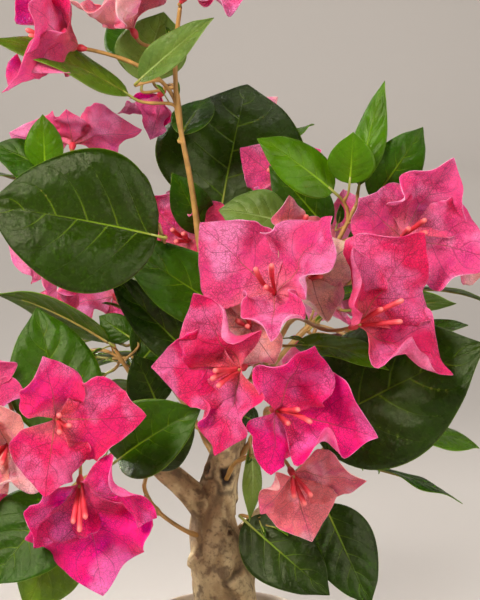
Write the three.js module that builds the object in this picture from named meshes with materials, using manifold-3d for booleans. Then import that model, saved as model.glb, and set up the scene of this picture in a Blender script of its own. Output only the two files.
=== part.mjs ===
// Artificial bougainvillea plant in a small round pot.
// Millimetres, +Z up. The origin is the middle of the pot's flat underside, and -Y is the front.
// The moulded trunk stands in the filled pot and carries tapering boughs. Each spray is one mass of
// twigs, leaves and papery three-bract blooms that grows by one rule from a single stem.

import * as THREE from "three";
import { mergeVertices } from "three/addons/utils/BufferGeometryUtils.js";
import Module from "manifold-3d";

const wasm = await Module();
wasm.setup();

// Pot and fill
const POT_HEIGHT = 88;
const POT_FOOT_RADIUS = 34;
const POT_RIM_RADIUS = 46;
const POT_WALL = 4.5;
const POT_FLOOR = 7;
const POT_EDGE = 1.6;
const POT_SIDES = 40;
const FILL_LEVEL = 80;

// Clearance between neighbouring solids, and the smallest step that a joined surface keeps
const FIT = 0.3;
const JOIN_TOLERANCE = 0.03;
const SAME_POINT = 1e-3;

// Trunk and boughs: spine points, with the radius at each point
const TRUNK_SIDES = 14;
const TRUNK_STEPS = 26;
const FLARE_HEIGHT = 12;
const FLARE_EXTRA = 5;
const FLARE_LOBES = 5;
const FLARE_LEAST = 0.7;
const FLARE_SWING = 0.3;

// The trunk's uneven roundness: lobes round it, how far they turn with each step, and their depth
const GNARL = [
  { lobes: 3, turn: 1, depth: 0.035 },
  { lobes: 2, turn: -0.7, depth: 0.03 },
];
const TRUNK = {
  spine: [
    [-1, 0, FILL_LEVEL + FIT],
    [-2, 0, 103],
    [-5, 0, 124],
    [-9, 0, 146],
    [-5, 2, 170],
    [-1, 4, 196],
    [1, 6, 226],
  ],
  radii: [18.5, 18.3, 18.7, 13.4, 10.5, 8.2, 6.4],
};
const BOUGH_SIDES = 10;
const BOUGH_STEPS = 10;
const BOUGHS = {
  bough_left: {
    spine: [[-10, 0, 150], [-25, -5, 167], [-40, -10, 182], [-52, -18, 202]],
    radii: [9, 7.6, 6.4, 5],
  },
  bough_right: {
    spine: [[0, 3, 126], [17, 9, 143], [35, 12, 160], [50, 10, 179]],
    radii: [6.4, 5.4, 4.8, 4],
  },
  bough_back: {
    spine: [[-4, 3, 160], [1, 22, 174], [6, 38, 192], [6, 46, 206]],
    radii: [8, 6.6, 5.6, 4.6],
  },
};
const CURVE_TENSION = 0.5;
const LIMB_SAMPLE_STEPS = 30;

// Twigs
const STEM_RADIUS = 2.0;
const STEM_SIDES = 5;
const STEM_STEPS_PER_SPAN = 2;
const TWIG_RADIUS = 1.5;
const TWIG_END_RADIUS = 2.2;
const TWIG_SIDES = 3;
const TWIG_STEPS = 3;
const TWIG_COST = 0.6;
const TWIG_SLEEVE = 4;
const TWIG_LEAD = 0.3;
const TWIG_CLOSE = 0.4;

// A blade's outline is sin(pi * t^belly)^fullness, and its thickness a fixed part of its length
const LEAF = { belly: 0.76, fullness: 0.8, thick: 1 / 75, stations: [0.3, 0.64], root: -2 };
const BRACT = { belly: 0.95, fullness: 0.9, thick: 1 / 50, stations: [0.38, 0.7], root: 0.6 };
const BRACT_WIDTH = 0.8;
const BRACT_BEND = -14;
const BRACT_FOLD = 12;
const LEAST_TURN = 1e-6;
const UPRIGHT_LIMIT = 0.05;

// The places along and across a blade at which distances are tested
const SAMPLES_ALONG = [0.08, 0.2, 0.32, 0.44, 0.56, 0.68, 0.8, 0.92, 0.999];
const SAMPLES_ACROSS = [-0.95, -0.5, 0, 0.5, 0.95];

// The growing rule that fills each spray round its placed shoots
const CLEAR_OTHER = 12;
const CLEAR_OWN = 8;
const CLEAR_LIMB = 9;
const TRIES_PER_SHOOT = 60;
const GOLDEN_TURN = 137.5;
const LEAF_LENGTH = [44, 82];
const LEAF_RATIO = [0.55, 0.78];
const LEAF_BEND = [15, 40];
const LEAF_FOLD = 12;
const LEAF_LEAN = 0.6;
const BLOOM_SIZE = [40, 50];
const BLOOM_OPEN = 62;
const BRACT_STEP = 120;
const STALK_LENGTH = [12, 44];
const STEM_PART = [0.35, 0.999];
const LIFT = [-0.5, 0.35];
const OUTWARD_PULL = 0.9;
const FORWARD_PULL = 0.4;

const FRONT = [0, -1, 0.25];
const UP = [0, -0.4, 1];

// A placed leaf: root, tip, the way its upper face looks, width as a part of length, bend and fold
const leaf = (root, tip, face = FRONT, ratio = 0.6, bend = 20, fold = 10) => ({
  kind: "leaf", root, tip, face, ratio, bend, fold,
});

// A placed bloom: middle, the way it looks, each bract's turn clockwise from the top, opening, size,
// and each bract's share of that size
const bloom = (at, face, turns, open = BLOOM_OPEN, size = 48, shares = [1, 1, 1]) => ({
  kind: "bloom", at, face, turns, open, size, shares,
});

// Each spray: its stem from the foot upwards, the shoots placed by eye, and what the rule adds
const SPRAYS = {
  spray_low_left: {
    stem: [[-51, -17, 201], [-60, -30, 208], [-74, -50, 208], [-86, -62, 212]],
    placed: [
      bloom([-92, -90, 229], [0.2, -0.97, 0.05], [-10, 91, 196], 62, 48, [0.8, 1, 0.9]),
      bloom([-80, -88, 193], [0, -0.78, -0.62], [84, 168, 220], 60, 54, [0.92, 1.28, 0.85]),
      bloom([-122, -60, 207], [-0.3, -0.9, -0.2], [-5, 115, 235], 60, 42),
      bloom([-132, -40, 233], [-0.6, -0.75, 0.2], [0, 120, 240], 60, 42),
      bloom([-140, -30, 172], [-0.4, -0.8, -0.3], [10, 130, 250], 60, 44),
      leaf([-91, -45, 207], [-109, -34, 280], [0.2, -1, 0.3], 0.72, 15, 22),
      leaf([-62, -44, 194], [-17, -58, 229], [0, -0.9, 0.4], 0.86, 25, 38),
      leaf([-92, -54, 176], [-133, -70, 129], [-0.2, -0.9, 0.4], 0.78, 20, 12),
      leaf([-94, -14, 145], [-121, -14, 96], [-0.3, -0.9, 0.2], 0.8, 15, 10),
    ],
    space: { at: [-100, -40, 190], reach: [62, 62, 70] },
    seed: 11, leaves: 3, blooms: 0,
  },
  spray_mid_left: {
    stem: [[-8, 4, 196], [-30, 14, 206], [-54, 22, 224], [-68, 22, 246]],
    placed: [
      leaf([-71, 20, 249], [-137, 20, 280], [0, 0.55, 0.8], 0.5, 20, 10),
      leaf([-58, 28, 250], [-78, 34, 262], FRONT, 0.75),
      leaf([-55, 30, 237], [-51, 30, 268], [0.7, -0.7, 0.1], 0.5),
      leaf([-52, 27, 236], [-36, 32, 254], FRONT, 0.7),
      leaf([-42, 16, 212], [-54, 8, 244], [0.1, -1, 0.3], 0.8, 25),
    ],
    space: { at: [-90, 40, 235], reach: [55, 45, 45] },
    seed: 23, leaves: 4, blooms: 0,
  },
  spray_side_left: {
    stem: [[-14, -7, 137], [-27, -15, 145], [-41, -22, 158], [-48, -24, 171], [-47, -20, 179]],
    placed: [
      leaf([-46, -16, 183], [-18, -28, 214], [0.3, -0.8, 0.5], 0.6, 30),
    ],
    space: { at: [-34, -22, 180], reach: [34, 30, 50] },
    seed: 29, leaves: 0, blooms: 0,
  },
  spray_high_left: {
    stem: [[-7, 1, 214], [-18, -12, 240], [-26, -34, 280], [-33, -50, 312], [-38, -52, 330]],
    placed: [
      leaf([-38, -60, 324], [-130, -76, 346], [0.05, -1, 0.28], 0.84, 24, 8),
    ],
    space: { at: [-118, -18, 318], reach: [62, 60, 58] },
    seed: 37, leaves: 3, blooms: 1,
  },
  spray_far_left: {
    stem: [[-9, 8, 206], [-32, 34, 244], [-58, 46, 290], [-80, 48, 330], [-92, 50, 350]],
    placed: [
      bloom([-94, 62, 362], [0.05, 0.8, 0.6], [282, 80, 0], 75, 42, [1, 0.9, 0.6]),
      leaf([-100, 34, 346], [-140, 42, 366], [0, -0.8, 0.6], 0.6),
      leaf([-108, 34, 350], [-108, 30, 383], FRONT, 0.7, 10, 20),
      leaf([-72, 62, 330], [-104, 104, 348], UP, 0.7, 35),
    ],
    space: { at: [-100, 80, 310], reach: [74, 80, 76] },
    seed: 41, leaves: 7, blooms: 2,
  },
  spray_top: {
    stem: [
      [1, 6, 224], [-9, 14, 258], [-16, 18, 305], [-22, 18, 346], [-29, 15, 386], [-30, 10, 420],
      [-27, 3, 446],
    ],
    placed: [
      bloom([-24, -3, 452], [0.55, -0.3, 0.75], [20, 140, 260], 60, 36),
      bloom([-54, 13, 432], [-0.4, -0.1, 0.9], [60, 180, 300], 42, 44, [1, 0.95, 1]),
      bloom([-85, 8, 423], [-0.95, -0.25, 0.2], [-25, 66, 142], 42, 58),
      bloom([-40, 44, 394], [-0.6, 0.1, -0.75], [30, 150, 270], 32, 28),
      leaf([-57, 8, 396], [-132, -20, 431], [0.1, -0.5, 1], 0.42, 20, 14),
      leaf([-50, 4, 405], [-7, -22, 439], [0.3, -0.8, 0.6], 0.36, 15, 28),
      leaf([-50, 36, 402], [-40, 60, 442], FRONT, 0.9, 20),
      leaf([-46, 56, 404], [-64, 104, 438], [-0.2, 0.5, 0.8], 0.7),
      leaf([-27, 20, 372], [-12, 52, 392], UP, 0.6),
    ],
    space: { at: [-58, 66, 430], reach: [74, 66, 62] },
    seed: 53, leaves: 0, blooms: 0,
  },
  spray_top_back: {
    stem: [[6, 45, 205], [2, 52, 250], [-3, 56, 300], [4, 78, 330], [14, 100, 350]],
    placed: [
      leaf([-5, 53, 320], [12, 104, 396], [0, -1, 0.5], 1.02, 60, 6),
      bloom([-24, 46, 306], [-0.3, -0.85, 0.3], [-50, 70, 190], 62, 40),
      leaf([-14, 40, 312], [-31, 22, 350], [0, -1, 0.3], 0.55),
    ],
    space: { at: [24, 116, 332], reach: [78, 76, 66] },
    seed: 61, leaves: 6, blooms: 2,
  },
  spray_centre: {
    stem: [[4, 1, 208], [12, -18, 232], [20, -42, 258], [24, -58, 276]],
    placed: [
      bloom([26, -80, 295], [-0.3, -0.75, 0.6], [-58, 42, 165], 60, 56, [1, 1, 0.7]),
      bloom([46, -58, 300], [0.3, -0.8, 0.5], [60, 180, 300], 62, 31),
      bloom([8, -82, 255], [-0.55, -0.8, -0.1], [-22, 182, 268], 62, 50),
      bloom([12, -58, 273], [-0.2, -0.9, 0.4], [20, 140, 260], 64, 34),
      leaf([9, -46, 272], [-63, -61, 322], [0.15, -0.9, 0.45], 0.46, 18, 20),
      leaf([-10, -50, 246], [-70, -38, 300], [-0.5, -0.65, 0.55], 0.34, 20, 22),
      leaf([38, -50, 261], [90, -62, 250], [0, -0.45, 0.9], 0.42, 40, 14),
    ],
    space: { at: [10, -70, 270], reach: [60, 50, 50] },
    seed: 73, leaves: 2, blooms: 0,
  },
  spray_low_centre: {
    stem: [[-1, -4, 172], [4, -14, 184], [13, -28, 192], [20, -40, 196], [22, -56, 212]],
    placed: [
      bloom([26, -80, 231], [0.5, -0.85, 0], [14, 105, 200], 60, 52, [0.95, 1.12, 0.72]),
      bloom([36, -62, 191], [0.3, -0.75, -0.5], [76, 162, 238], 60, 42, [1, 1, 0.7]),
      leaf([13, -26, 197], [14, -27, 153], [0.6, -0.8, 0], 0.3),
      leaf([17, -22, 210], [0, -40, 222], [0, -0.9, 0.4], 0.6),
    ],
    space: { at: [25, -60, 205], reach: [40, 40, 40] },
    seed: 83, leaves: 1, blooms: 0,
  },
  spray_high_right: {
    stem: [[7, 6, 214], [24, 0, 244], [42, -14, 280], [60, -24, 312], [72, -26, 336]],
    placed: [
      bloom([70, -70, 276], [0.7, -0.55, 0.35], [-18, 44, 144], 54, 58, [0.8, 1.1, 1.02]),
      bloom([98, -30, 319], [0.3, -0.9, 0.3], [-55, 30, 108], 62, 54, [0.8, 1, 1]),
      leaf([59, -30, 345], [17, -42, 376], [0.2, -0.9, 0.5], 0.55, 20, 10),
      leaf([68, -34, 350], [70, -40, 379], [0, -1, 0.2], 0.9, 15),
      leaf([74, -24, 348], [88, -20, 406], [-0.5, -0.8, 0.2], 0.34, 15),
      leaf([82, -20, 339], [110, -22, 380], [0.2, -0.95, 0.2], 0.6),
      bloom([40, -20, 316], [0.5, -0.2, 0.85], [240, 0, 120], 50, 26),
      leaf([35, -12, 324], [-5, -13, 334], [-0.15, -0.85, 0.5], 0.8, 25),
    ],
    space: { at: [95, -30, 310], reach: [55, 50, 50] },
    seed: 97, leaves: 2, blooms: 0,
  },
  spray_low_right: {
    stem: [[49, 10, 178], [58, 2, 190], [66, -6, 196], [80, -8, 190]],
    placed: [
      leaf([48, -20, 205], [143, -50, 263], [0.1, -0.85, 0.5], 0.74, 22, 8),
      leaf([90, 18, 172], [140, 10, 154], [0, 0.1, 1], 0.5, 15, 14),
      leaf([56, -16, 160], [81, -30, 102], [0.25, -0.95, 0.1], 0.62, 18, 12),
      leaf([84, 14, 214], [128, 22, 232], UP, 0.6),
    ],
    space: { at: [95, 15, 200], reach: [66, 56, 60] },
    seed: 101, leaves: 4, blooms: 0,
  },
  spray_low_front: {
    stem: [[14, 1, 128], [22, -12, 142], [18, -20, 154]],
    placed: [
      leaf([10, -20, 151], [57, -40, 111], [0.2, -0.9, 0.3], 0.64, 18, 10),
    ],
    space: { at: [25, -25, 140], reach: [30, 30, 30] },
    seed: 103, leaves: 0, blooms: 0,
  },
  spray_far_right: {
    stem: [[8, 8, 208], [30, 26, 238], [60, 36, 268], [86, 40, 296]],
    placed: [
      leaf([101, 12, 253], [140, 4, 264], UP, 0.5),
      leaf([72, 4, 301], [98, 0, 332], FRONT, 0.6),
      leaf([58, 4, 318], [24, 6, 356], [0, -0.9, 0.5], 0.6),
      bloom([32, 40, 342], [-0.3, -0.85, 0.4], [-60, 60, 180], 62, 32),
      bloom([118, 40, 300], [0.6, -0.3, 0.7], [30, 150, 270], 60, 44),
    ],
    space: { at: [100, 66, 282], reach: [72, 72, 68] },
    seed: 107, leaves: 7, blooms: 2,
  },
  spray_back_left: {
    stem: [[-2, 14, 168], [-20, 40, 196], [-44, 66, 226], [-62, 84, 256]],
    placed: [
      leaf([-40, 76, 226], [-96, 110, 216], [-0.3, 0.5, 0.8], 0.7, 35),
      bloom([-72, 104, 262], [-0.4, 0.8, 0.4], [0, 120, 240], 62, 48),
    ],
    space: { at: [-72, 90, 238], reach: [84, 78, 74] },
    seed: 113, leaves: 7, blooms: 2,
  },
  spray_back_right: {
    stem: [[2, 12, 172], [22, 46, 196], [44, 74, 224], [58, 92, 252]],
    placed: [
      leaf([52, 76, 222], [104, 112, 206], [0.4, 0.5, 0.7], 0.72, 35),
      bloom([62, 112, 260], [0.4, 0.85, 0.3], [20, 140, 260], 62, 48),
    ],
    space: { at: [72, 90, 228], reach: [84, 78, 70] },
    seed: 127, leaves: 7, blooms: 2,
  },
  spray_back: {
    stem: [[6, 47, 202], [2, 72, 226], [-4, 92, 256], [-6, 104, 286]],
    placed: [
      leaf([-6, 98, 250], [-10, 146, 214], [0, 0.8, 0.6], 0.72, 30),
      bloom([-6, 122, 292], [0, 0.9, 0.4], [0, 120, 240], 64, 50),
    ],
    space: { at: [-4, 104, 262], reach: [70, 72, 80] },
    seed: 131, leaves: 6, blooms: 2,
  },
};

const CROWN_MIDDLE = new THREE.Vector3(0, 0, 270);

// Standing for the finish of each kind of sub-part
const COLOURS = {
  pot: { color: 0xe9dfd0, roughness: 0.45, metalness: 0 },
  fill: { color: 0xb5a387, roughness: 0.9, metalness: 0 },
  bark: { color: 0x97825f, roughness: 0.85, metalness: 0 },
  foliage: { color: 0xc43f74, roughness: 0.7, metalness: 0 },
};

const group = new THREE.Group();

const vector = (p) => new THREE.Vector3(...p);
const radians = (degrees) => (degrees * Math.PI) / 180;
const mix = (a, b, t) => a + (b - a) * t;

function seededNumbers(seed) {
  const modulus = 2147483647;
  let state = seed * 7919 + 1;
  return () => {
    state = (state * 48271) % modulus;
    return state / modulus;
  };
}

function solidOf(vertices, triangles) {
  const vertProperties = new Float32Array(vertices.flatMap((v) => [v.x, v.y, v.z]));
  return new wasm.Manifold(
    new wasm.Mesh({ numProp: 3, vertProperties, triVerts: new Uint32Array(triangles) }),
  );
}

function solidOfGeometry(geometry) {
  const bare = geometry.clone();
  bare.deleteAttribute("normal");
  bare.deleteAttribute("uv");
  const merged = mergeVertices(bare, SAME_POINT);
  return new wasm.Manifold(
    new wasm.Mesh({
      numProp: 3,
      vertProperties: new Float32Array(merged.attributes.position.array),
      triVerts: new Uint32Array(merged.index.array),
    }),
  );
}

function geometryOf(solid) {
  const mesh = solid.getMesh();
  const geometry = new THREE.BufferGeometry();
  geometry.setAttribute("position", new THREE.BufferAttribute(mesh.vertProperties, 3));
  geometry.setIndex(new THREE.BufferAttribute(mesh.triVerts, 1));
  return geometry;
}

// Draws the ends of very short edges together, and drops the triangles that this makes flat
function weldShortEdges(solid) {
  const { vertProperties, triVerts } = solid.getMesh();
  const point = (i) => new THREE.Vector3().fromArray(vertProperties, 3 * i);
  const merged = Array.from({ length: vertProperties.length / 3 }, (_, i) => i);
  const keeper = (i) => {
    while (merged[i] !== i) i = merged[i];
    return i;
  };
  for (let i = 0; i < triVerts.length; i += 1) {
    const j = i % 3 === 2 ? i - 2 : i + 1;
    const a = keeper(triVerts[i]);
    const b = keeper(triVerts[j]);
    if (a !== b && point(a).distanceTo(point(b)) < JOIN_TOLERANCE) merged[Math.max(a, b)] = Math.min(a, b);
  }
  const kept = new Map();
  for (let i = 0; i < triVerts.length; i += 3) {
    const corners = Array.from(triVerts.subarray(i, i + 3), keeper);
    if (new Set(corners).size < 3) continue;
    const low = corners.indexOf(Math.min(...corners));
    const [a, b, c] = [corners[low], corners[(low + 1) % 3], corners[(low + 2) % 3]];
    if (!kept.delete(`${a},${c},${b}`)) kept.set(`${a},${b},${c}`, [a, b, c]);
  }
  const used = [...new Set([...kept.values()].flat())];
  const place = new Map(used.map((vertex, index) => [vertex, index]));
  const triangles = [...kept.values()].flat().map((vertex) => place.get(vertex));
  return solidOf(used.map(point), triangles);
}

function addNode(name, solid, finish) {
  const mesh = new THREE.Mesh(geometryOf(solid), new THREE.MeshStandardMaterial(COLOURS[finish]));
  mesh.name = name;
  group.add(mesh);
}

// Closes a stack of equal rings of vertices into a solid, with a fan over each end
function closeRings(rings) {
  const sides = rings[0].length;
  const vertices = rings.flat();
  const triangles = [];
  for (let ring = 0; ring + 1 < rings.length; ring += 1) {
    for (let side = 0; side < sides; side += 1) {
      const next = (side + 1) % sides;
      const a = ring * sides + side;
      const b = ring * sides + next;
      triangles.push(a, b, b + sides, a, b + sides, a + sides);
    }
  }
  const last = (rings.length - 1) * sides;
  for (let side = 1; side + 1 < sides; side += 1) {
    triangles.push(0, side + 1, side);
    triangles.push(last, last + side, last + side + 1);
  }
  return solidOf(vertices, triangles);
}

// A round limb along a list of points; radiusAt gives the radius from the step and the angle
function limbSolid(points, sides, radiusAt) {
  const rings = [];
  const across = new THREE.Vector3(1, 0, 0);
  points.forEach((point, step) => {
    const before = points[Math.max(step - 1, 0)];
    const after = points[Math.min(step + 1, points.length - 1)];
    const along = after.clone().sub(before).normalize();
    if (step === 0 && Math.abs(along.x) > 0.9) across.set(0, 1, 0);
    across.addScaledVector(along, -across.dot(along)).normalize();
    const other = new THREE.Vector3().crossVectors(along, across);
    const ring = [];
    for (let side = 0; side < sides; side += 1) {
      const angle = (side / sides) * 2 * Math.PI;
      const radius = radiusAt(step, angle);
      const corner = point.clone().addScaledVector(across, radius * Math.cos(angle));
      ring.push(corner.addScaledVector(other, radius * Math.sin(angle)));
    }
    rings.push(ring);
  });
  return closeRings(rings);
}

// Points evenly spaced in the parameter of a smooth curve through the given points
function smoothPoints(points, steps) {
  const curve = new THREE.CatmullRomCurve3(points.map(vector), false, "catmullrom", CURVE_TENSION);
  return curve.getPoints(steps);
}

function radiusAlong(radii, t) {
  const place = t * (radii.length - 1);
  const low = Math.min(Math.floor(place), radii.length - 2);
  return mix(radii[low], radii[low + 1], place - low);
}

// The trunk, with lobed roots that spread over the fill and an evenly cut foot
function trunkSolid(grow) {
  const points = smoothPoints(TRUNK.spine, TRUNK_STEPS);
  points[0].z = TRUNK.spine[0][2];
  const solid = limbSolid(points, TRUNK_SIDES, (step, angle) => {
    const height = points[step].z - FILL_LEVEL;
    const flare = Math.max(0, 1 - height / FLARE_HEIGHT) ** 2;
    const lobes = FLARE_LEAST + FLARE_SWING * Math.cos(FLARE_LOBES * angle);
    const waves = GNARL.map((wave) => wave.depth * Math.sin(wave.lobes * angle + wave.turn * step));
    const gnarl = waves.reduce((sum, wave) => sum + wave, 1);
    return radiusAlong(TRUNK.radii, step / TRUNK_STEPS) * gnarl + FLARE_EXTRA * flare * lobes + grow;
  });
  return solid.trimByPlane([0, 0, 1], FILL_LEVEL + FIT - grow);
}

function boughSolid(bough, grow) {
  const points = smoothPoints(bough.spine, BOUGH_STEPS);
  return limbSolid(points, BOUGH_SIDES, (step) => radiusAlong(bough.radii, step / BOUGH_STEPS) + grow);
}

// The centre line and frame of a blade: it leaves its root, bends away from its face and ends at its tip
function bladeFrame(root, tip, face, bend) {
  const chord = tip.clone().sub(root);
  const reach = chord.length();
  const straight = chord.normalize();
  const normal = face.clone().addScaledVector(straight, -face.dot(straight)).normalize();
  const half = radians(bend) / 2 || LEAST_TURN;
  const along = straight.clone().multiplyScalar(Math.cos(half)).addScaledVector(normal, Math.sin(half));
  const up = normal.multiplyScalar(Math.cos(half)).addScaledVector(straight, -Math.sin(half));
  const side = new THREE.Vector3().crossVectors(along, up);
  const length = (reach * half) / Math.sin(half);
  return { root, along, up, side, length, turn: 2 * half };
}

function bladeCentre(frame, t) {
  const angle = frame.turn * t;
  const forward = (frame.length * Math.sin(angle)) / frame.turn;
  const down = (frame.length * (1 - Math.cos(angle))) / frame.turn;
  return frame.root.clone().addScaledVector(frame.along, forward).addScaledVector(frame.up, -down);
}

function bladeUp(frame, t) {
  const angle = frame.turn * t;
  return frame.up.clone().multiplyScalar(Math.cos(angle)).addScaledVector(frame.along, Math.sin(angle));
}

// A point of the blade's middle surface, s from -1 at one edge to 1 at the other
function bladePoint(blade, t, s) {
  const halfWidth = (blade.width / 2) * Math.sin(Math.PI * t ** blade.form.belly) ** blade.form.fullness;
  const fold = radians(blade.fold);
  const reach = halfWidth * Math.abs(s);
  return bladeCentre(blade.frame, t)
    .addScaledVector(blade.frame.side, Math.sign(s) * reach * Math.cos(fold))
    .addScaledVector(bladeUp(blade.frame, t), reach * Math.sin(fold));
}

// A blade's solid: a point at the root, four-cornered stations and a point at the tip
function bladeSolid(blade) {
  const half = (blade.frame.length * blade.form.thick) / 2;
  const vertices = [blade.frame.root.clone().addScaledVector(blade.frame.along, blade.form.root)];
  for (const t of blade.form.stations) {
    const up = bladeUp(blade.frame, t);
    const middle = bladeCentre(blade.frame, t);
    vertices.push(bladePoint(blade, t, -1));
    vertices.push(middle.clone().addScaledVector(up, half));
    vertices.push(bladePoint(blade, t, 1));
    vertices.push(middle.clone().addScaledVector(up, -half));
  }
  vertices.push(bladeCentre(blade.frame, 1));
  const triangles = [];
  const last = vertices.length - 1;
  for (let corner = 0; corner < 4; corner += 1) {
    const next = (corner + 1) % 4;
    triangles.push(0, 1 + next, 1 + corner);
    for (let station = 1; station + 4 < last; station += 4) {
      const a = station + corner;
      const b = station + next;
      triangles.push(a, b, b + 4, a, b + 4, a + 4);
    }
    triangles.push(last, last - 4 + corner, last - 4 + next);
  }
  return solidOf(vertices, triangles);
}

function makeBlade(form, root, tip, face, width, bend, fold) {
  return { form, frame: bladeFrame(root, tip, face, bend), width, fold };
}

// The directions in which a bloom's bracts point, from its facing and their turns
function bractDirections(shoot) {
  const face = vector(shoot.face).normalize();
  const top = new THREE.Vector3(0, 0, 1).addScaledVector(face, -face.z);
  if (top.length() < UPRIGHT_LIMIT) top.set(0, 1, 0);
  top.normalize();
  const right = new THREE.Vector3().crossVectors(top, face);
  const open = radians(shoot.open);
  return shoot.turns.map((turn, bract) => {
    const angle = radians(turn);
    const spread = top.clone().multiplyScalar(Math.cos(angle)).addScaledVector(right, Math.sin(angle));
    const along = face.clone().multiplyScalar(Math.cos(open)).addScaledVector(spread, Math.sin(open));
    const inside = face.clone().multiplyScalar(Math.sin(open)).addScaledVector(spread, -Math.cos(open));
    return { along, inside, length: shoot.size * shoot.shares[bract] };
  });
}

// The blades of one shoot, and the point and direction at which its stalk arrives
function shootParts(shoot) {
  if (shoot.kind === "leaf") {
    const root = vector(shoot.root);
    const tip = vector(shoot.tip);
    const width = root.distanceTo(tip) * shoot.ratio;
    const blade = makeBlade(LEAF, root, tip, vector(shoot.face), width, shoot.bend, shoot.fold);
    return { blades: [blade], end: root, arrive: blade.frame.along };
  }
  const at = vector(shoot.at);
  const face = vector(shoot.face).normalize();
  const blades = bractDirections(shoot).map(({ along, inside, length }) => {
    const tip = at.clone().addScaledVector(along, length);
    return makeBlade(BRACT, at, tip, inside, length * BRACT_WIDTH, BRACT_BEND, BRACT_FOLD);
  });
  return { blades, end: at, arrive: face };
}

// Points spread over a blade, which stand for it where distances are tested
function bladeSamples(blade) {
  return SAMPLES_ALONG.flatMap((t) => SAMPLES_ACROSS.map((s) => bladePoint(blade, t, s)));
}

function nearer(samples, others, limit) {
  const square = limit * limit;
  return samples.some((a) => others.some((b) => a.distanceToSquared(b) < square));
}

// The stalk of a shoot leaves the stem or an earlier stalk where the way from the foot is shortest
function stalkPath(twigs, parts) {
  let best = twigs[0];
  let least = Infinity;
  for (const twig of twigs) {
    const cost = twig.point.distanceTo(parts.end) + TWIG_COST * twig.fromFoot;
    if (cost < least) {
      least = cost;
      best = twig;
    }
  }
  const gap = best.point.distanceTo(parts.end);
  const lead = best.point.clone().addScaledVector(best.along, gap * TWIG_LEAD);
  const sleeve = parts.end.clone().addScaledVector(parts.arrive, -TWIG_SLEEVE);
  const close = parts.end.clone().addScaledVector(parts.arrive, -TWIG_SLEEVE - gap * TWIG_CLOSE);
  const curve = new THREE.CubicBezierCurve3(best.point, lead, close, sleeve);
  const points = curve.getPoints(TWIG_STEPS);
  points.push(parts.end.clone().addScaledVector(parts.arrive, TWIG_SLEEVE));
  return { points, fromFoot: best.fromFoot };
}

function twigSamples(points, fromFoot) {
  let travelled = fromFoot;
  return points.map((point, step) => {
    if (step > 0) travelled += point.distanceTo(points[step - 1]);
    const after = points[Math.min(step + 1, points.length - 1)];
    const before = points[Math.max(step - 1, 0)];
    return { point, along: after.clone().sub(before).normalize(), fromFoot: travelled };
  });
}

// Keeps a shoot: its stalk joins the spray's twigs, and its blades and samples are stored
function growShoot(spray, shoot) {
  const parts = shootParts(shoot);
  const stalk = stalkPath(spray.twigs, parts);
  const samples = parts.blades.flatMap(bladeSamples);
  return { parts, stalk, samples };
}

function keepShoot(spray, grown) {
  spray.blades.push(...grown.parts.blades);
  spray.stalks.push(grown.stalk.points);
  spray.samples.push(...grown.samples);
  spray.thin.push(...grown.stalk.points);
  spray.twigs.push(...twigSamples(grown.stalk.points.slice(0, -1), grown.stalk.fromFoot));
}

// One shoot by the rule: it turns round the stem by the golden angle and leans away from the crown
function ruledShoot(spray, kind, turn, random) {
  const stem = spray.stemTwigs;
  const place = Math.floor(mix(...STEM_PART, random()) * stem.length);
  const node = stem[place];
  const side = new THREE.Vector3(0, 0, 1).cross(node.along).normalize();
  const other = new THREE.Vector3().crossVectors(node.along, side);
  const angle = radians(turn);
  const heading = side.multiplyScalar(Math.cos(angle)).addScaledVector(other, Math.sin(angle));
  const outward = node.point.clone().sub(CROWN_MIDDLE).normalize();
  heading.addScaledVector(outward, OUTWARD_PULL).addScaledVector(node.along, FORWARD_PULL).normalize();
  const stalk = mix(...STALK_LENGTH, random());
  const root = node.point.clone().addScaledVector(heading, stalk);
  const leaning = heading.clone().add(new THREE.Vector3(0, 0, mix(...LIFT, random()))).normalize();
  if (kind === "bloom") {
    const start = random() * BRACT_STEP;
    const turns = [start, start + BRACT_STEP, start + 2 * BRACT_STEP];
    return bloom(root.toArray(), leaning.toArray(), turns, BLOOM_OPEN, mix(...BLOOM_SIZE, random()));
  }
  const tip = root.clone().addScaledVector(leaning, mix(...LEAF_LENGTH, random()));
  const face = new THREE.Vector3(0, 0, 1).addScaledVector(outward, LEAF_LEAN);
  const ratio = mix(...LEAF_RATIO, random());
  const bend = mix(...LEAF_BEND, random());
  return leaf(root.toArray(), tip.toArray(), face.toArray(), ratio, bend, LEAF_FOLD);
}

function insideSpace(spray, samples) {
  const { at, reach } = spray.space;
  return samples.every((p) => {
    const x = (p.x - at[0]) / reach[0];
    const y = (p.y - at[1]) / reach[1];
    const z = (p.z - at[2]) / reach[2];
    return x * x + y * y + z * z < 1;
  });
}

// Adds up to count shoots of one kind, skipping any that leaves its space or comes near anything
function fillSpray(spray, kind, count, random, sprays, limbSamples) {
  let kept = 0;
  let turn = random() * 360;
  for (let attempt = 0; attempt < count * TRIES_PER_SHOOT && kept < count; attempt += 1) {
    turn += GOLDEN_TURN;
    const grown = growShoot(spray, ruledShoot(spray, kind, turn, random));
    const { samples, stalk } = grown;
    if (!insideSpace(spray, samples)) continue;
    if (nearer(samples, limbSamples, CLEAR_LIMB)) continue;
    if (nearer(samples, spray.samples, CLEAR_OWN)) continue;
    const others = sprays.filter((other) => other !== spray);
    if (others.some((other) => nearer(samples, other.samples, CLEAR_OTHER))) continue;
    if (others.some((other) => nearer(samples, other.thin, CLEAR_OWN))) continue;
    if (others.some((other) => nearer(stalk.points.slice(1), other.samples, CLEAR_OWN))) continue;
    if (others.some((other) => nearer(stalk.points.slice(1), other.thin, CLEAR_OWN))) continue;
    keepShoot(spray, grown);
    kept += 1;
  }
}

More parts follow.
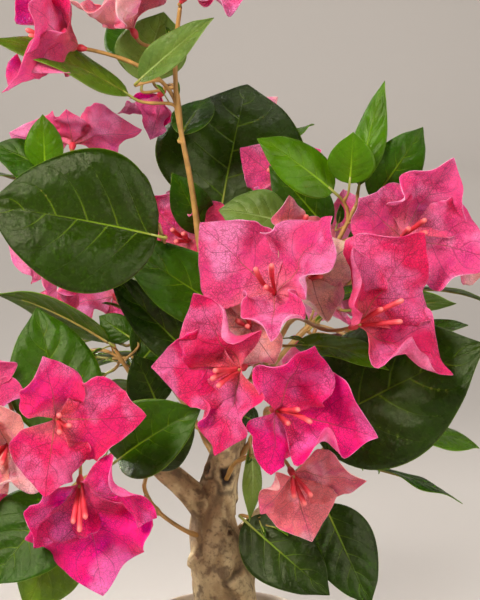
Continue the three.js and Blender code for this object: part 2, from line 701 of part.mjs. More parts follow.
function startSpray(name, plan) {
  const points = smoothPoints(plan.stem, (plan.stem.length - 1) * STEM_STEPS_PER_SPAN);
  const twigs = twigSamples(points, 0);
  const spray = { name, space: plan.space, stem: points, stemTwigs: twigs, twigs: [...twigs] };
  Object.assign(spray, { blades: [], stalks: [], samples: [], thin: [...points] });
  plan.placed.forEach((shoot) => keepShoot(spray, growShoot(spray, shoot)));
  return spray;
}

// A stalk is a slim twig that thickens where it holds a leaf or a bloom
function stalkSolid(points) {
  const sleeve = points.length - 2;
  return limbSolid(points, TWIG_SIDES, (step) => (step >= sleeve ? TWIG_END_RADIUS : TWIG_RADIUS));
}

function spraySolid(spray, limbs) {
  let solid = limbSolid(spray.stem, STEM_SIDES, () => STEM_RADIUS);
  for (const points of spray.stalks) solid = solid.add(stalkSolid(points));
  for (const blade of spray.blades) solid = solid.add(bladeSolid(blade));
  for (const limb of limbs) solid = solid.subtract(limb);
  const pieces = weldShortEdges(solid).decompose();
  pieces.sort((a, b) => b.volume() - a.volume());
  return pieces[0];
}

// Pot: a turned shell with a flat underside and a rounded rim
function potSolid() {
  const lean = (POT_RIM_RADIUS - POT_FOOT_RADIUS) / POT_HEIGHT;
  const outer = (z) => POT_FOOT_RADIUS + lean * z;
  const inner = (z) => outer(z) - POT_WALL;
  const profile = [
    [0, 0],
    [POT_FOOT_RADIUS - POT_EDGE, 0],
    [outer(POT_EDGE), POT_EDGE],
    [outer(POT_HEIGHT / 2), POT_HEIGHT / 2],
    [outer(POT_HEIGHT - POT_EDGE), POT_HEIGHT - POT_EDGE],
    [outer(POT_HEIGHT) - POT_EDGE, POT_HEIGHT],
    [inner(POT_HEIGHT) + POT_EDGE, POT_HEIGHT],
    [inner(POT_HEIGHT - POT_EDGE), POT_HEIGHT - POT_EDGE],
    [inner(POT_FLOOR), POT_FLOOR],
    [0, POT_FLOOR],
  ];
  return turnedSolid(profile);
}

// Fill: it rests on the pot's floor and meets its wall
function fillSolid() {
  const lean = (POT_RIM_RADIUS - POT_FOOT_RADIUS) / POT_HEIGHT;
  const radius = (z) => POT_FOOT_RADIUS + lean * z - POT_WALL - FIT;
  const bottom = POT_FLOOR + FIT;
  return turnedSolid([
    [0, bottom],
    [radius(bottom), bottom],
    [radius(FILL_LEVEL), FILL_LEVEL],
    [0, FILL_LEVEL],
  ]);
}

function turnedSolid(profile) {
  const points = profile.map(([radius, height]) => new THREE.Vector2(radius, height));
  const geometry = new THREE.LatheGeometry(points, POT_SIDES);
  geometry.rotateX(Math.PI / 2);
  return solidOfGeometry(geometry);
}

addNode("pot", potSolid(), "pot");
addNode("pot_fill", fillSolid(), "fill");
addNode("trunk", trunkSolid(0), "bark");

const clearOfLimbs = [trunkSolid(FIT)];
for (const [name, bough] of Object.entries(BOUGHS)) {
  addNode(name, boughSolid(bough, 0).subtract(clearOfLimbs[0]), "bark");
  clearOfLimbs.push(boughSolid(bough, FIT));
}

const spines = [TRUNK.spine, ...Object.values(BOUGHS).map((bough) => bough.spine)];
const limbSamples = spines.flatMap((spine) => smoothPoints(spine, LIMB_SAMPLE_STEPS));
const sprays = Object.entries(SPRAYS).map(([name, plan]) => startSpray(name, plan));
sprays.forEach((spray) => {
  const plan = SPRAYS[spray.name];
  const random = seededNumbers(plan.seed);
  fillSpray(spray, "bloom", plan.blooms, random, sprays, limbSamples);
  fillSpray(spray, "leaf", plan.leaves, random, sprays, limbSamples);
});
sprays.forEach((spray) => addNode(spray.name, spraySolid(spray, clearOfLimbs), "foliage"));

export default group;
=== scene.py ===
"""Artificial bougainvillea plant in a small round pot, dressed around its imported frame.

Sizes are in millimetres, as the plant's makers give them, and turn into metres where a mesh is made.
+Z is up, -Y is the front, and the origin is the middle of the pot's flat underside.
"""

import functools
import logging
import math
from dataclasses import dataclass, field
from enum import Enum

import bpy
import numpy as np
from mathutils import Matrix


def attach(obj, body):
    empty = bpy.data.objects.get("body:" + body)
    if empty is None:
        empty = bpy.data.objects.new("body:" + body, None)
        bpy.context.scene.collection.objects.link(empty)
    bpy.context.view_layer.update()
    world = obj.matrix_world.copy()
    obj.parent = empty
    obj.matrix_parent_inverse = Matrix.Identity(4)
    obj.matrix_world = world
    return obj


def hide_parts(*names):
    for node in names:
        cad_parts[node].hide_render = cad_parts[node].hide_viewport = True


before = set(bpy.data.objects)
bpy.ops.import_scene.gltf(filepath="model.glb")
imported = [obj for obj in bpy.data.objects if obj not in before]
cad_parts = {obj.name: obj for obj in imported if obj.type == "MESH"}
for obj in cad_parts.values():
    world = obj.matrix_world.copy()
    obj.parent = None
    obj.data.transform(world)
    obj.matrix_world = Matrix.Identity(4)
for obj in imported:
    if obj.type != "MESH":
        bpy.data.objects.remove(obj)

LOG = logging.getLogger("bougainvillea")
MM = 0.001
BODY = "root"
FILL_LEVEL = 80
# The depth in metres to which light glows through leaves and bracts.
GLOW_DEPTH = 0.004
# Waves start anywhere in this range, which is just over a full turn.
PHASES = 6.3
# How far apart in millimetres the flat cloths of two blades lie in the pattern, at most.
CLOTH_APART = 900

Points = np.ndarray
Rng = np.random.Generator
Material = bpy.types.Material
Socket = bpy.types.NodeSocket


class LeafTone(Enum):
    """The dye lots of the cloth leaves: upper face, underside and veins, as 0 to 255 screen colours.
    PALE is partly a paler dye and partly painted sheen for glossy, strongly lit leaves.
    """

    DARK = ((20, 40, 0), (58, 84, 16), (120, 152, 26))
    FOREST = ((30, 64, 0), (74, 104, 12), (128, 162, 22))
    YOUNG = ((56, 102, 0), (84, 124, 6), (134, 174, 30))
    OLIVE = ((72, 102, 22), (108, 132, 48), (150, 164, 66))
    # PALE: partly a paler dye, partly painted sheen for glossy leaves that catch the light.
    PALE = ((82, 112, 52), (120, 144, 78), (156, 178, 104))


class BractTone(Enum):
    """The dye lots of the bracts: inner face, foot of the bract and outer face. CORAL's darker foot is
    painted shade in the throat, and DUSK is a darker pink that is painted shade for a bloom at the
    back.
    """

    HOT = ((236, 14, 80), (242, 100, 98), (244, 60, 110))
    MAGENTA = ((250, 0, 98), (246, 60, 112), (244, 74, 134))
    ROSE = ((240, 54, 114), (246, 116, 122), (246, 116, 156))
    # CORAL's foot is darker than its inner face: painted shade deep in the throat.
    CORAL = ((246, 104, 110), (236, 84, 88), (255, 164, 162))
    SALMON = ((252, 136, 130), (252, 180, 148), (252, 176, 164))
    PEACH = ((255, 200, 162), (252, 150, 124), (255, 210, 180))
    # DUSK: a darker, dusky pink used as painted shade for the bloom at the back.
    DUSK = ((202, 36, 74), (214, 90, 96), (214, 92, 122))


# Two ways that many leaves look: forward and a little up, and up and a little forward.
FRONT = (0, -1, 0.25)
UP = (0, -0.4, 1)


@dataclass(frozen=True)
class Leaf:
    """A leaf by its root, its tip and the way its upper face looks.

    The ratio is its width as a part of its length. The bend and the fold are angles in degrees.
    """

    root: tuple
    tip: tuple
    face: tuple = FRONT
    ratio: float = 0.6
    bend: float = 20
    fold: float = 10
    tone: LeafTone = LeafTone.FOREST


@dataclass(frozen=True)
class Bloom:
    """A bloom by its middle, the way it looks, and each bract's turn clockwise from the top."""

    at: tuple
    face: tuple
    turns: tuple
    open: float = 62
    size: float = 48
    shares: tuple = (1, 1, 1)
    tone: BractTone = BractTone.HOT


@dataclass(frozen=True)
class SprayPlan:
    """A mass of foliage: its stem from the foot, the shoots placed one by one, and what the rule adds.
    """

    name: str
    stem: tuple
    placed: tuple
    at: tuple
    reach: tuple
    seed: int
    leaves: int
    blooms: int = 0


L, B = LeafTone, BractTone
SPRAY_PLANS = (
    SprayPlan(
        "low_left", ((-51, -17, 201), (-60, -30, 208), (-74, -50, 208), (-86, -62, 212)), (
            Bloom((-92, -90, 229), (0.2, -0.97, 0.05), (-10, 91, 196), 62, 48, (0.8, 1, 0.9)),
            Bloom(
                (-80, -88, 193), (0, -0.78, -0.62), (84, 168, 220), 60, 54,
                (0.92, 1.28, 0.85), B.MAGENTA,
            ),
            Bloom((-122, -60, 207), (-0.3, -0.9, -0.2), (-5, 115, 235), 60, 42, tone=B.SALMON),
            Bloom((-132, -40, 233), (-0.6, -0.75, 0.2), (0, 120, 240), 60, 42, tone=B.ROSE),
            Bloom((-140, -30, 172), (-0.4, -0.8, -0.3), (10, 130, 250), 60, 44),
            Leaf((-91, -45, 207), (-109, -34, 280), (0.2, -1, 0.3), 0.72, 15, 22),
            Leaf((-62, -44, 194), (-17, -58, 229), (0, -0.9, 0.4), 0.86, 25, 38),
            Leaf((-92, -54, 176), (-133, -70, 129), (-0.2, -0.9, 0.4), 0.78, 20, 12),
            Leaf((-94, -14, 145), (-121, -14, 96), (-0.3, -0.9, 0.2), 0.8, 15, 10, L.OLIVE),
        ), (-100, -40, 190), (62, 62, 70), 11, 3,
    ),
    SprayPlan(
        "mid_left", ((-8, 4, 196), (-30, 14, 206), (-54, 22, 224), (-68, 22, 246)), (
            Leaf((-71, 20, 249), (-137, 20, 280), (0, 0.55, 0.8), 0.5, 20, 10),
            Leaf((-58, 28, 250), (-78, 34, 262), FRONT, 0.75),
            Leaf((-55, 30, 237), (-51, 30, 268), (0.7, -0.7, 0.1), 0.5),
            Leaf((-52, 27, 236), (-36, 32, 254), FRONT, 0.7),
            Leaf((-42, 16, 212), (-54, 8, 244), (0.1, -1, 0.3), 0.8, 25, 10, L.DARK),
        ), (-90, 40, 235), (55, 45, 45), 23, 4,
    ),
    SprayPlan(
        "side_left",
        ((-14, -7, 137), (-27, -15, 145), (-41, -22, 158), (-48, -24, 171), (-47, -20, 179)),
        (Leaf((-46, -16, 183), (-18, -28, 214), (0.3, -0.8, 0.5), 0.6, 30, 10, L.DARK),),
        (-34, -22, 180), (34, 30, 50), 29, 0,
    ),
    SprayPlan(
        "high_left",
        ((-7, 1, 214), (-18, -12, 240), (-26, -34, 280), (-33, -50, 312), (-38, -52, 330)),
        (Leaf((-38, -60, 324), (-130, -76, 346), (0.05, -1, 0.28), 0.84, 24, 22, L.DARK),),
        (-118, -18, 318), (62, 60, 58), 37, 3, 1,
    ),
    SprayPlan(
        "far_left", ((-9, 8, 206), (-32, 34, 244), (-58, 46, 290), (-80, 48, 330), (-92, 50, 350)), (
            Bloom((-94, 62, 362), (0.05, 0.8, 0.6), (282, 80, 0), 75, 42, (1, 0.9, 0.6)),
            Leaf((-100, 34, 346), (-140, 42, 366), (0, -0.8, 0.6), 0.6),
            Leaf((-108, 34, 350), (-108, 30, 383), FRONT, 0.7, 10, 20, L.YOUNG),
            Leaf((-72, 62, 330), (-104, 104, 348), UP, 0.7, 35),
        ), (-100, 80, 310), (74, 80, 76), 41, 7, 2,
    ),
    SprayPlan(
        "top",
        (
            (1, 6, 224), (-9, 14, 258), (-16, 18, 305), (-22, 18, 346), (-29, 15, 386),
            (-30, 10, 420), (-27, 3, 446),
        ),
        (
            Bloom((-24, -3, 452), (0.55, -0.3, 0.75), (20, 140, 260), 60, 36, tone=B.ROSE),
            Bloom((-54, 13, 432), (-0.4, -0.1, 0.9), (60, 180, 300), 42, 44, (1, 0.95, 1), B.CORAL),
            Bloom((-85, 8, 423), (-0.95, -0.25, 0.2), (-25, 66, 142), 42, 58),
            Bloom((-40, 44, 394), (-0.6, 0.1, -0.75), (30, 150, 270), 32, 28, tone=B.MAGENTA),
            Leaf((-57, 8, 396), (-132, -20, 431), (0.1, -0.5, 1), 0.42, 20, 14, L.OLIVE),
            Leaf((-50, 4, 405), (-7, -22, 439), (0.3, -0.8, 0.6), 0.36, 15, 28, L.PALE),
            Leaf((-50, 36, 402), (-40, 60, 442), FRONT, 0.9, 20, 10, L.PALE),
            Leaf((-46, 56, 404), (-64, 104, 438), (-0.2, 0.5, 0.8), 0.7),
            Leaf((-27, 20, 372), (-12, 52, 392), UP, 0.6),
        ), (-58, 66, 430), (74, 66, 62), 53, 0,
    ),
    SprayPlan(
        "top_back", ((6, 45, 205), (2, 52, 250), (-3, 56, 300), (4, 78, 330), (14, 100, 350)), (
            Leaf((-5, 53, 320), (12, 104, 396), (0, -1, 0.5), 1.02, 60, 6, L.DARK),
            Bloom((-24, 46, 306), (-0.3, -0.85, 0.3), (-50, 70, 190), 62, 40, tone=B.DUSK),
            Leaf((-14, 40, 312), (-31, 22, 350), (0, -1, 0.3), 0.55),
        ), (24, 116, 332), (78, 76, 66), 61, 6, 2,
    ),
    SprayPlan(
        "centre", ((4, 1, 208), (12, -18, 232), (20, -42, 258), (24, -58, 276)), (
            Bloom((26, -80, 295), (-0.3, -0.75, 0.6), (-58, 42, 165), 60, 56, (1, 1, 0.7), B.ROSE),
            Bloom((46, -58, 300), (0.3, -0.8, 0.5), (60, 180, 300), 62, 31, tone=B.PEACH),
            Bloom((8, -82, 255), (-0.55, -0.8, -0.1), (-22, 182, 268), 62, 50),
            Bloom((12, -58, 273), (-0.2, -0.9, 0.4), (20, 140, 260), 64, 34, tone=B.SALMON),
            Leaf((9, -46, 272), (-63, -61, 322), (0.15, -0.9, 0.45), 0.46, 18, 20),
            Leaf((-10, -50, 246), (-70, -38, 300), (-0.5, -0.65, 0.55), 0.34, 20, 22, L.DARK),
            Leaf((38, -50, 261), (90, -62, 250), (0, -0.45, 0.9), 0.42, 40, 14, L.YOUNG),
        ), (10, -70, 270), (60, 50, 50), 73, 2,
    ),
    SprayPlan(
        "low_centre", ((-1, -4, 172), (4, -14, 184), (13, -28, 192), (20, -40, 196), (22, -56, 212)), (
            Bloom(
                (26, -80, 231), (0.5, -0.85, 0), (14, 105, 200), 60, 52,
                (0.95, 1.12, 0.72), B.MAGENTA,
            ),
            Bloom((36, -62, 191), (0.3, -0.75, -0.5), (76, 162, 238), 60, 42, (1, 1, 0.7), B.CORAL),
            Leaf((13, -26, 197), (14, -27, 153), (0.6, -0.8, 0), 0.3, tone=L.PALE),
            Leaf((17, -22, 210), (0, -40, 222), (0, -0.9, 0.4), 0.6, tone=L.DARK),
        ), (25, -60, 205), (40, 40, 40), 83, 1,
    ),
    SprayPlan(
        "high_right", ((7, 6, 214), (24, 0, 244), (42, -14, 280), (60, -24, 312), (72, -26, 336)), (
            Bloom((70, -70, 276), (0.7, -0.55, 0.35), (-18, 44, 144), 54, 58, (0.8, 1.1, 1.02)),
            Bloom((98, -30, 319), (0.3, -0.9, 0.3), (-55, 30, 108), 62, 54, (0.8, 1, 1), B.ROSE),
            Leaf((59, -30, 345), (17, -42, 376), (0.2, -0.9, 0.5), 0.55, 20, 10, L.YOUNG),
            Leaf((68, -34, 350), (70, -40, 379), (0, -1, 0.2), 0.9, 15, 10, L.YOUNG),
            Leaf((74, -24, 348), (88, -20, 406), (-0.5, -0.8, 0.2), 0.34, 15, 10, L.YOUNG),
            Leaf((82, -20, 339), (110, -22, 380), (0.2, -0.95, 0.2), 0.6),
            Bloom((40, -20, 316), (0.5, -0.2, 0.85), (240, 0, 120), 50, 26, tone=B.CORAL),
            Leaf((35, -12, 324), (-5, -13, 334), (-0.15, -0.85, 0.5), 0.8, 25, 10, L.PALE),
        ), (95, -30, 310), (55, 50, 50), 97, 2,
    ),
    SprayPlan(
        "low_right", ((49, 10, 178), (58, 2, 190), (66, -6, 196), (80, -8, 190)), (
            Leaf((48, -20, 205), (143, -50, 263), (0.1, -0.85, 0.5), 0.74, 22, 8, L.DARK),
            Leaf((90, 18, 172), (140, 10, 154), (0, 0.1, 1), 0.5, 15, 14),
            Leaf((56, -16, 160), (81, -30, 102), (0.25, -0.95, 0.1), 0.62, 18, 12, L.DARK),
            Leaf((84, 14, 214), (128, 22, 232), UP, 0.6),
        ), (95, 15, 200), (66, 56, 60), 101, 4,
    ),
    SprayPlan(
        "low_front",
        ((14, 1, 128), (22, -12, 142), (18, -20, 154)),
        (Leaf((10, -20, 151), (57, -40, 111), (0.2, -0.9, 0.3), 0.64, 18, 10, L.DARK),),
        (25, -25, 140), (30, 30, 30), 103, 0,
    ),
    SprayPlan(
        "far_right", ((8, 8, 208), (30, 26, 238), (60, 36, 268), (86, 40, 296)), (
            Leaf((101, 12, 253), (140, 4, 264), UP, 0.5),
            Leaf((72, 4, 301), (98, 0, 332), FRONT, 0.6),
            Leaf((58, 4, 318), (24, 6, 356), (0, -0.9, 0.5), 0.6),
            Bloom((32, 40, 342), (-0.3, -0.85, 0.4), (-60, 60, 180), 62, 32, tone=B.ROSE),
            Bloom((118, 40, 300), (0.6, -0.3, 0.7), (30, 150, 270), 60, 44, tone=B.SALMON),
        ), (100, 66, 282), (72, 72, 68), 107, 7, 2,
    ),
    SprayPlan(
        "back_left", ((-2, 14, 168), (-20, 40, 196), (-44, 66, 226), (-62, 84, 256)), (
            Leaf((-40, 76, 226), (-96, 110, 216), (-0.3, 0.5, 0.8), 0.7, 35),
            Bloom((-72, 104, 262), (-0.4, 0.8, 0.4), (0, 120, 240), 62, 48),
        ), (-72, 90, 238), (84, 78, 74), 113, 7, 2,
    ),
    SprayPlan(
        "back_right", ((2, 12, 172), (22, 46, 196), (44, 74, 224), (58, 92, 252)), (
            Leaf((52, 76, 222), (104, 112, 206), (0.4, 0.5, 0.7), 0.72, 35),
            Bloom((62, 112, 260), (0.4, 0.85, 0.3), (20, 140, 260), 62, 48, tone=B.ROSE),
        ), (72, 90, 228), (84, 78, 70), 127, 7, 2,
    ),
    SprayPlan(
        "back", ((6, 47, 202), (2, 72, 226), (-4, 92, 256), (-6, 104, 286)), (
            Leaf((-6, 98, 250), (-10, 146, 214), (0, 0.8, 0.6), 0.72, 30),
            Bloom((-6, 122, 292), (0, 0.9, 0.4), (0, 120, 240), 64, 50),
        ), (-4, 104, 262), (70, 72, 80), 131, 6, 2,
    ),
)


@dataclass(frozen=True)
class LimbPlan:
    """A limb's spine and the radius at each of its points."""

    name: str
    spine: tuple
    radii: tuple


TRUNK_PLAN = LimbPlan(
    "trunk",
    ((-1, 0, 80.3), (-2, 0, 103), (-5, 0, 124), (-9, 0, 146), (-5, 2, 170), (-1, 4, 196), (1, 6, 226)),
    (18.5, 18.3, 18.7, 13.4, 10.5, 8.2, 6.4),
)
BOUGH_PLANS = (
    LimbPlan(
        "bough_left",
        ((-10, 0, 150), (-25, -5, 167), (-40, -10, 182), (-52, -18, 202)),
        (9, 7.6, 6.4, 5),
    ),
    LimbPlan(
        "bough_right",
        ((0, 3, 126), (17, 9, 143), (35, 12, 160), (50, 10, 179)),
        (6.4, 5.4, 4.8, 4),
    ),
    LimbPlan(
        "bough_back",
        ((-4, 3, 160), (1, 22, 174), (6, 38, 192), (6, 46, 206)),
        (8, 6.6, 5.6, 4.6),
    ),
)


def vector(values: tuple | list | Points) -> Points:
    """Gives three numbers as an array."""
    return np.array(values, float)


def unit(values: Points) -> Points:
    """Gives each vector of an array its direction alone."""
    return values / np.maximum(np.linalg.norm(values, axis=-1, keepdims=True), 1e-9)


def eased(low: float, high: float, values: Points) -> Points:
    """Rises smoothly from 0 at low to 1 at high."""
    part = np.clip((values - low) / (high - low), 0, 1)
    return part * part * (3 - 2 * part)


class Draws:
    """The growing rule's own repeatable numbers from 0 to 1."""

    MODULUS = 2147483647
    FACTOR = 48271
    SEED_STEP = 7919

    def __init__(self, seed: int) -> None:
        """Starts the sequence that belongs to a seed."""
        self.state = seed * self.SEED_STEP + 1

    def next(self) -> float:
        """Gives the next number."""
        self.state = self.state * self.FACTOR % self.MODULUS
        return self.state / self.MODULUS

    def between(self, low: float, high: float) -> float:
        """Gives the next number, spread between two limits."""
        return low + (high - low) * self.next()


def smooth_points(points: tuple | Points, steps: int) -> Points:
    """Carries a smooth curve through a few points.

    Each span is a cubic whose slope at a point is half the step between that point's two neighbours,
    and past either end the last step is repeated.

    Args:
        points: The points that the curve passes.
        steps: The number of even steps in the curve's parameter.

    Returns:
        One point for each step, both ends included.
    """
    given = vector(points)
    padded = np.vstack([2 * given[0] - given[1], given, 2 * given[-1] - given[-2]])
    place = np.arange(steps + 1) / steps * (len(given) - 1)
    span = np.minimum(place.astype(int), len(given) - 2)
    t = (place - span)[:, None]
    before, start, end, after = (padded[span + i] for i in range(4))
    leave, arrive = (end - before) / 2, (after - start) / 2
    rise = 3 * (end - start) - 2 * leave - arrive
    turn = 2 * (start - end) + leave + arrive
    return start + leave * t + rise * t**2 + turn * t**3


def step_lengths(points: Points) -> Points:
    """Gives the distance from each point of a line to the next."""
    return np.linalg.norm(np.diff(points, axis=0), axis=1)


def travelled(points: Points) -> Points:
    """Gives the way along a line from its first point to each."""
    return np.concatenate([[0.0], np.cumsum(step_lengths(points))])


def arched_points(start: Points, lead: Points, close: Points, end: Points, steps: int) -> Points:
    """Gives the points of a curve that is pulled towards two handles on its way.

    Each of the four points is weighted by its own cubic of the way gone.

    Args:
        start: The first point.
        lead: The handle that the curve leaves towards.
        close: The handle that it arrives from.
        end: The last point.
        steps: The number of even steps in the curve's parameter.

    Returns:
        One point for each step, both ends included.
    """
    t = (np.arange(steps + 1) / steps)[:, None]
    rest = 1 - t
    return start * rest**3 + lead * 3 * rest**2 * t + close * 3 * rest * t**2 + end * t**3


@dataclass(frozen=True)
class BladeForm:
    """A kind of blade: its outline is sin(pi t^belly)^fullness of half its width."""

    belly: float
    fullness: float


LEAF_FORM = BladeForm(0.76, 0.8)
BRACT_FORM = BladeForm(0.95, 0.9)
BRACT_WIDTH = 0.8
BRACT_BEND = -14
BRACT_FOLD = 12


@dataclass(frozen=True)
class Blade:
    """The middle surface of a leaf or a bract, on an arc that bends away from its upper face."""

    form: BladeForm
    root: Points
    along: Points
    up: Points
    side: Points
    length: float
    turn: float
    width: float
    fold: float
    tone: Enum

    SAMPLES_ALONG = (0.08, 0.2, 0.32, 0.44, 0.56, 0.68, 0.8, 0.92, 0.999)
    SAMPLES_ACROSS = (-0.95, -0.5, 0, 0.5, 0.95)

    @classmethod
    def between(
        cls, form: BladeForm, root: Points, tip: Points, face: Points, width: float,
        bend: float, fold: float, tone: Enum,
    ) -> "Blade":
        """Lays a blade from its root to its tip.

        Args:
            form: The kind of blade.
            root: Where it starts.
            tip: Where it ends.
            face: The way that its upper face looks.
            width: Its full width.
            bend: The angle that its centre line turns through, in degrees.
            fold: The angle that each half is folded up, in degrees.
            tone: Its dye lot.

        Returns:
            The blade.
        """
        chord = tip - root
        reach = np.linalg.norm(chord)
        straight = chord / reach
        normal = unit(face - straight * (face @ straight))
        half = math.radians(bend) / 2 or 1e-6
        along = straight * math.cos(half) + normal * math.sin(half)
        up = normal * math.cos(half) - straight * math.sin(half)
        length = reach * half / math.sin(half)
        return cls(form, root, along, up, np.cross(along, up), length, 2 * half, width, fold, tone)

    def centre(self, t: Points) -> Points:
        """Gives points of the centre line, an arc that starts along the root's direction.

        Args:
            t: The places along it.

        Returns:
            The points.
        """
        angle = self.turn * t[..., None]
        forward = self.along * np.sin(angle) - self.up * (1 - np.cos(angle))
        return self.root + forward * self.length / self.turn

    def upward(self, t: Points) -> Points:
        """Gives the way that the upper face looks at points of the centre line."""
        angle = self.turn * t[..., None]
        return self.up * np.cos(angle) + self.along * np.sin(angle)

    def half_width(self, t: Points) -> Points:
        """Gives half the blade's width at points of the centre line."""
        swell = np.sin(np.pi * np.minimum(t, 1) ** self.form.belly)
        return self.width / 2 * np.maximum(swell, 0) ** self.form.fullness

    def samples(self) -> Points:
        """Gives points spread over the blade.

        Returns:
            The points, which stand for it where distances are tested.
        """
        t, s = np.meshgrid(self.SAMPLES_ALONG, self.SAMPLES_ACROSS, indexing="ij")
        fold = math.radians(self.fold)
        reach = self.half_width(t) * np.abs(s)
        across = self.side * (np.sign(s) * reach * math.cos(fold))[..., None]
        lift = self.upward(t) * (reach * math.sin(fold))[..., None]
        return (self.centre(t) + across + lift).reshape(-1, 3)


@dataclass(frozen=True)
class Shoot:
    """A leaf or a bloom as blades, with the point and direction at which its stalk arrives."""

    blades: tuple[Blade, ...]
    end: Points
    arrive: Points
    bloom: Bloom | None

    @classmethod
    def of(cls, plan: Leaf | Bloom) -> "Shoot":
        """Works out the blades of a planned leaf or bloom.

        Args:
            plan: The leaf or the bloom.

        Returns:
            Its blades and the end of its stalk.
        """
        if isinstance(plan, Leaf):
            root, tip = vector(plan.root), vector(plan.tip)
            width = np.linalg.norm(tip - root) * plan.ratio
            blade = Blade.between(
                LEAF_FORM, root, tip, vector(plan.face), width, plan.bend, plan.fold, plan.tone
            )
            return cls((blade,), root, blade.along, None)
        at, face = vector(plan.at), unit(vector(plan.face))
        top = vector((0, 0, 1)) - face * face[2]
        top = unit(top) if np.linalg.norm(top) >= 0.05 else vector((0, 1, 0))
        right = np.cross(top, face)
        opening = math.radians(plan.open)
        blades = []
        for turn, share in zip(plan.turns, plan.shares):
            spread = top * math.cos(math.radians(turn)) + right * math.sin(math.radians(turn))
            along = face * math.cos(opening) + spread * math.sin(opening)
            inside = face * math.sin(opening) - spread * math.cos(opening)
            length = plan.size * share
            blades.append(Blade.between(
                BRACT_FORM, at, at + along * length, inside, length * BRACT_WIDTH,
                BRACT_BEND, BRACT_FOLD, plan.tone,
            ))
        return cls(tuple(blades), at, face, plan)

    def samples(self) -> Points:
        """Gives the points that stand for all its blades."""
        return np.vstack([blade.samples() for blade in self.blades])


@dataclass
class Twigs:
    """Points along a spray's stem and stalks, with the direction and the way from the foot at each."""

    points: Points
    along: Points
    from_foot: Points

    @classmethod
    def through(cls, points: Points, from_foot: float) -> "Twigs":
        """Measures a line of points.

        Args:
            points: The points.
            from_foot: The way from the foot to the first.

        Returns:
            The points with their directions and ways.
        """
        after = np.vstack([points[1:], points[-1:]])
        before = np.vstack([points[:1], points[:-1]])
        return cls(points, unit(after - before), from_foot + travelled(points))

    def add(self, other: "Twigs") -> None:
        """Takes in another line of points.

        Args:
            other: The other line.
        """
        self.points = np.vstack([self.points, other.points])
        self.along = np.vstack([self.along, other.along])
        self.from_foot = np.concatenate([self.from_foot, other.from_foot])


@dataclass(frozen=True)
class Stalk:
    """The way of a shoot's stalk: two handles between the twig that it leaves and its sleeve."""

    start: Points
    lead: Points
    close: Points
    sleeve: Points
    end: Points
    from_foot: float

    COST = 0.6
    SLEEVE = 4
    LEAD_PART = 0.3
    CLOSE_PART = 0.4

    @classmethod
    def towards(cls, twigs: Twigs, shoot: Shoot) -> "Stalk":
        """Leaves the stem or an earlier stalk where the way from the foot is shortest.

        Args:
            twigs: What the spray has grown so far.
            shoot: The shoot that the stalk carries.

        Returns:
            The stalk.
        """
        gaps = np.linalg.norm(twigs.points - shoot.end, axis=1)
        best = int(np.argmin(gaps + cls.COST * twigs.from_foot))
        gap, start = gaps[best], twigs.points[best]
        lead = start + twigs.along[best] * gap * cls.LEAD_PART
        sleeve = shoot.end - shoot.arrive * cls.SLEEVE
        close = shoot.end - shoot.arrive * (cls.SLEEVE + gap * cls.CLOSE_PART)
        end = shoot.end + shoot.arrive * cls.SLEEVE
        return cls(start, lead, close, sleeve, end, float(twigs.from_foot[best]))

    def points(self, steps: int) -> Points:
        """Gives the curve to the sleeve in even steps, and then the stalk's end in the blade."""
        curve = arched_points(self.start, self.lead, self.close, self.sleeve, steps)
        return np.vstack([curve, self.end])


def nearer(some: Points, others: Points, limit: float) -> bool:
    """Tells whether two sets of points come near each other.

    Args:
        some: One set.
        others: The other set.
        limit: The distance in question.

    Returns:
        Whether any point lies nearer than that to any of the other set.
    """
    if not len(others):
        return False
    square = (some**2).sum(1)[:, None] + (others**2).sum(1)[None, :] - 2 * some @ others.T
    return bool((square < limit * limit).any())


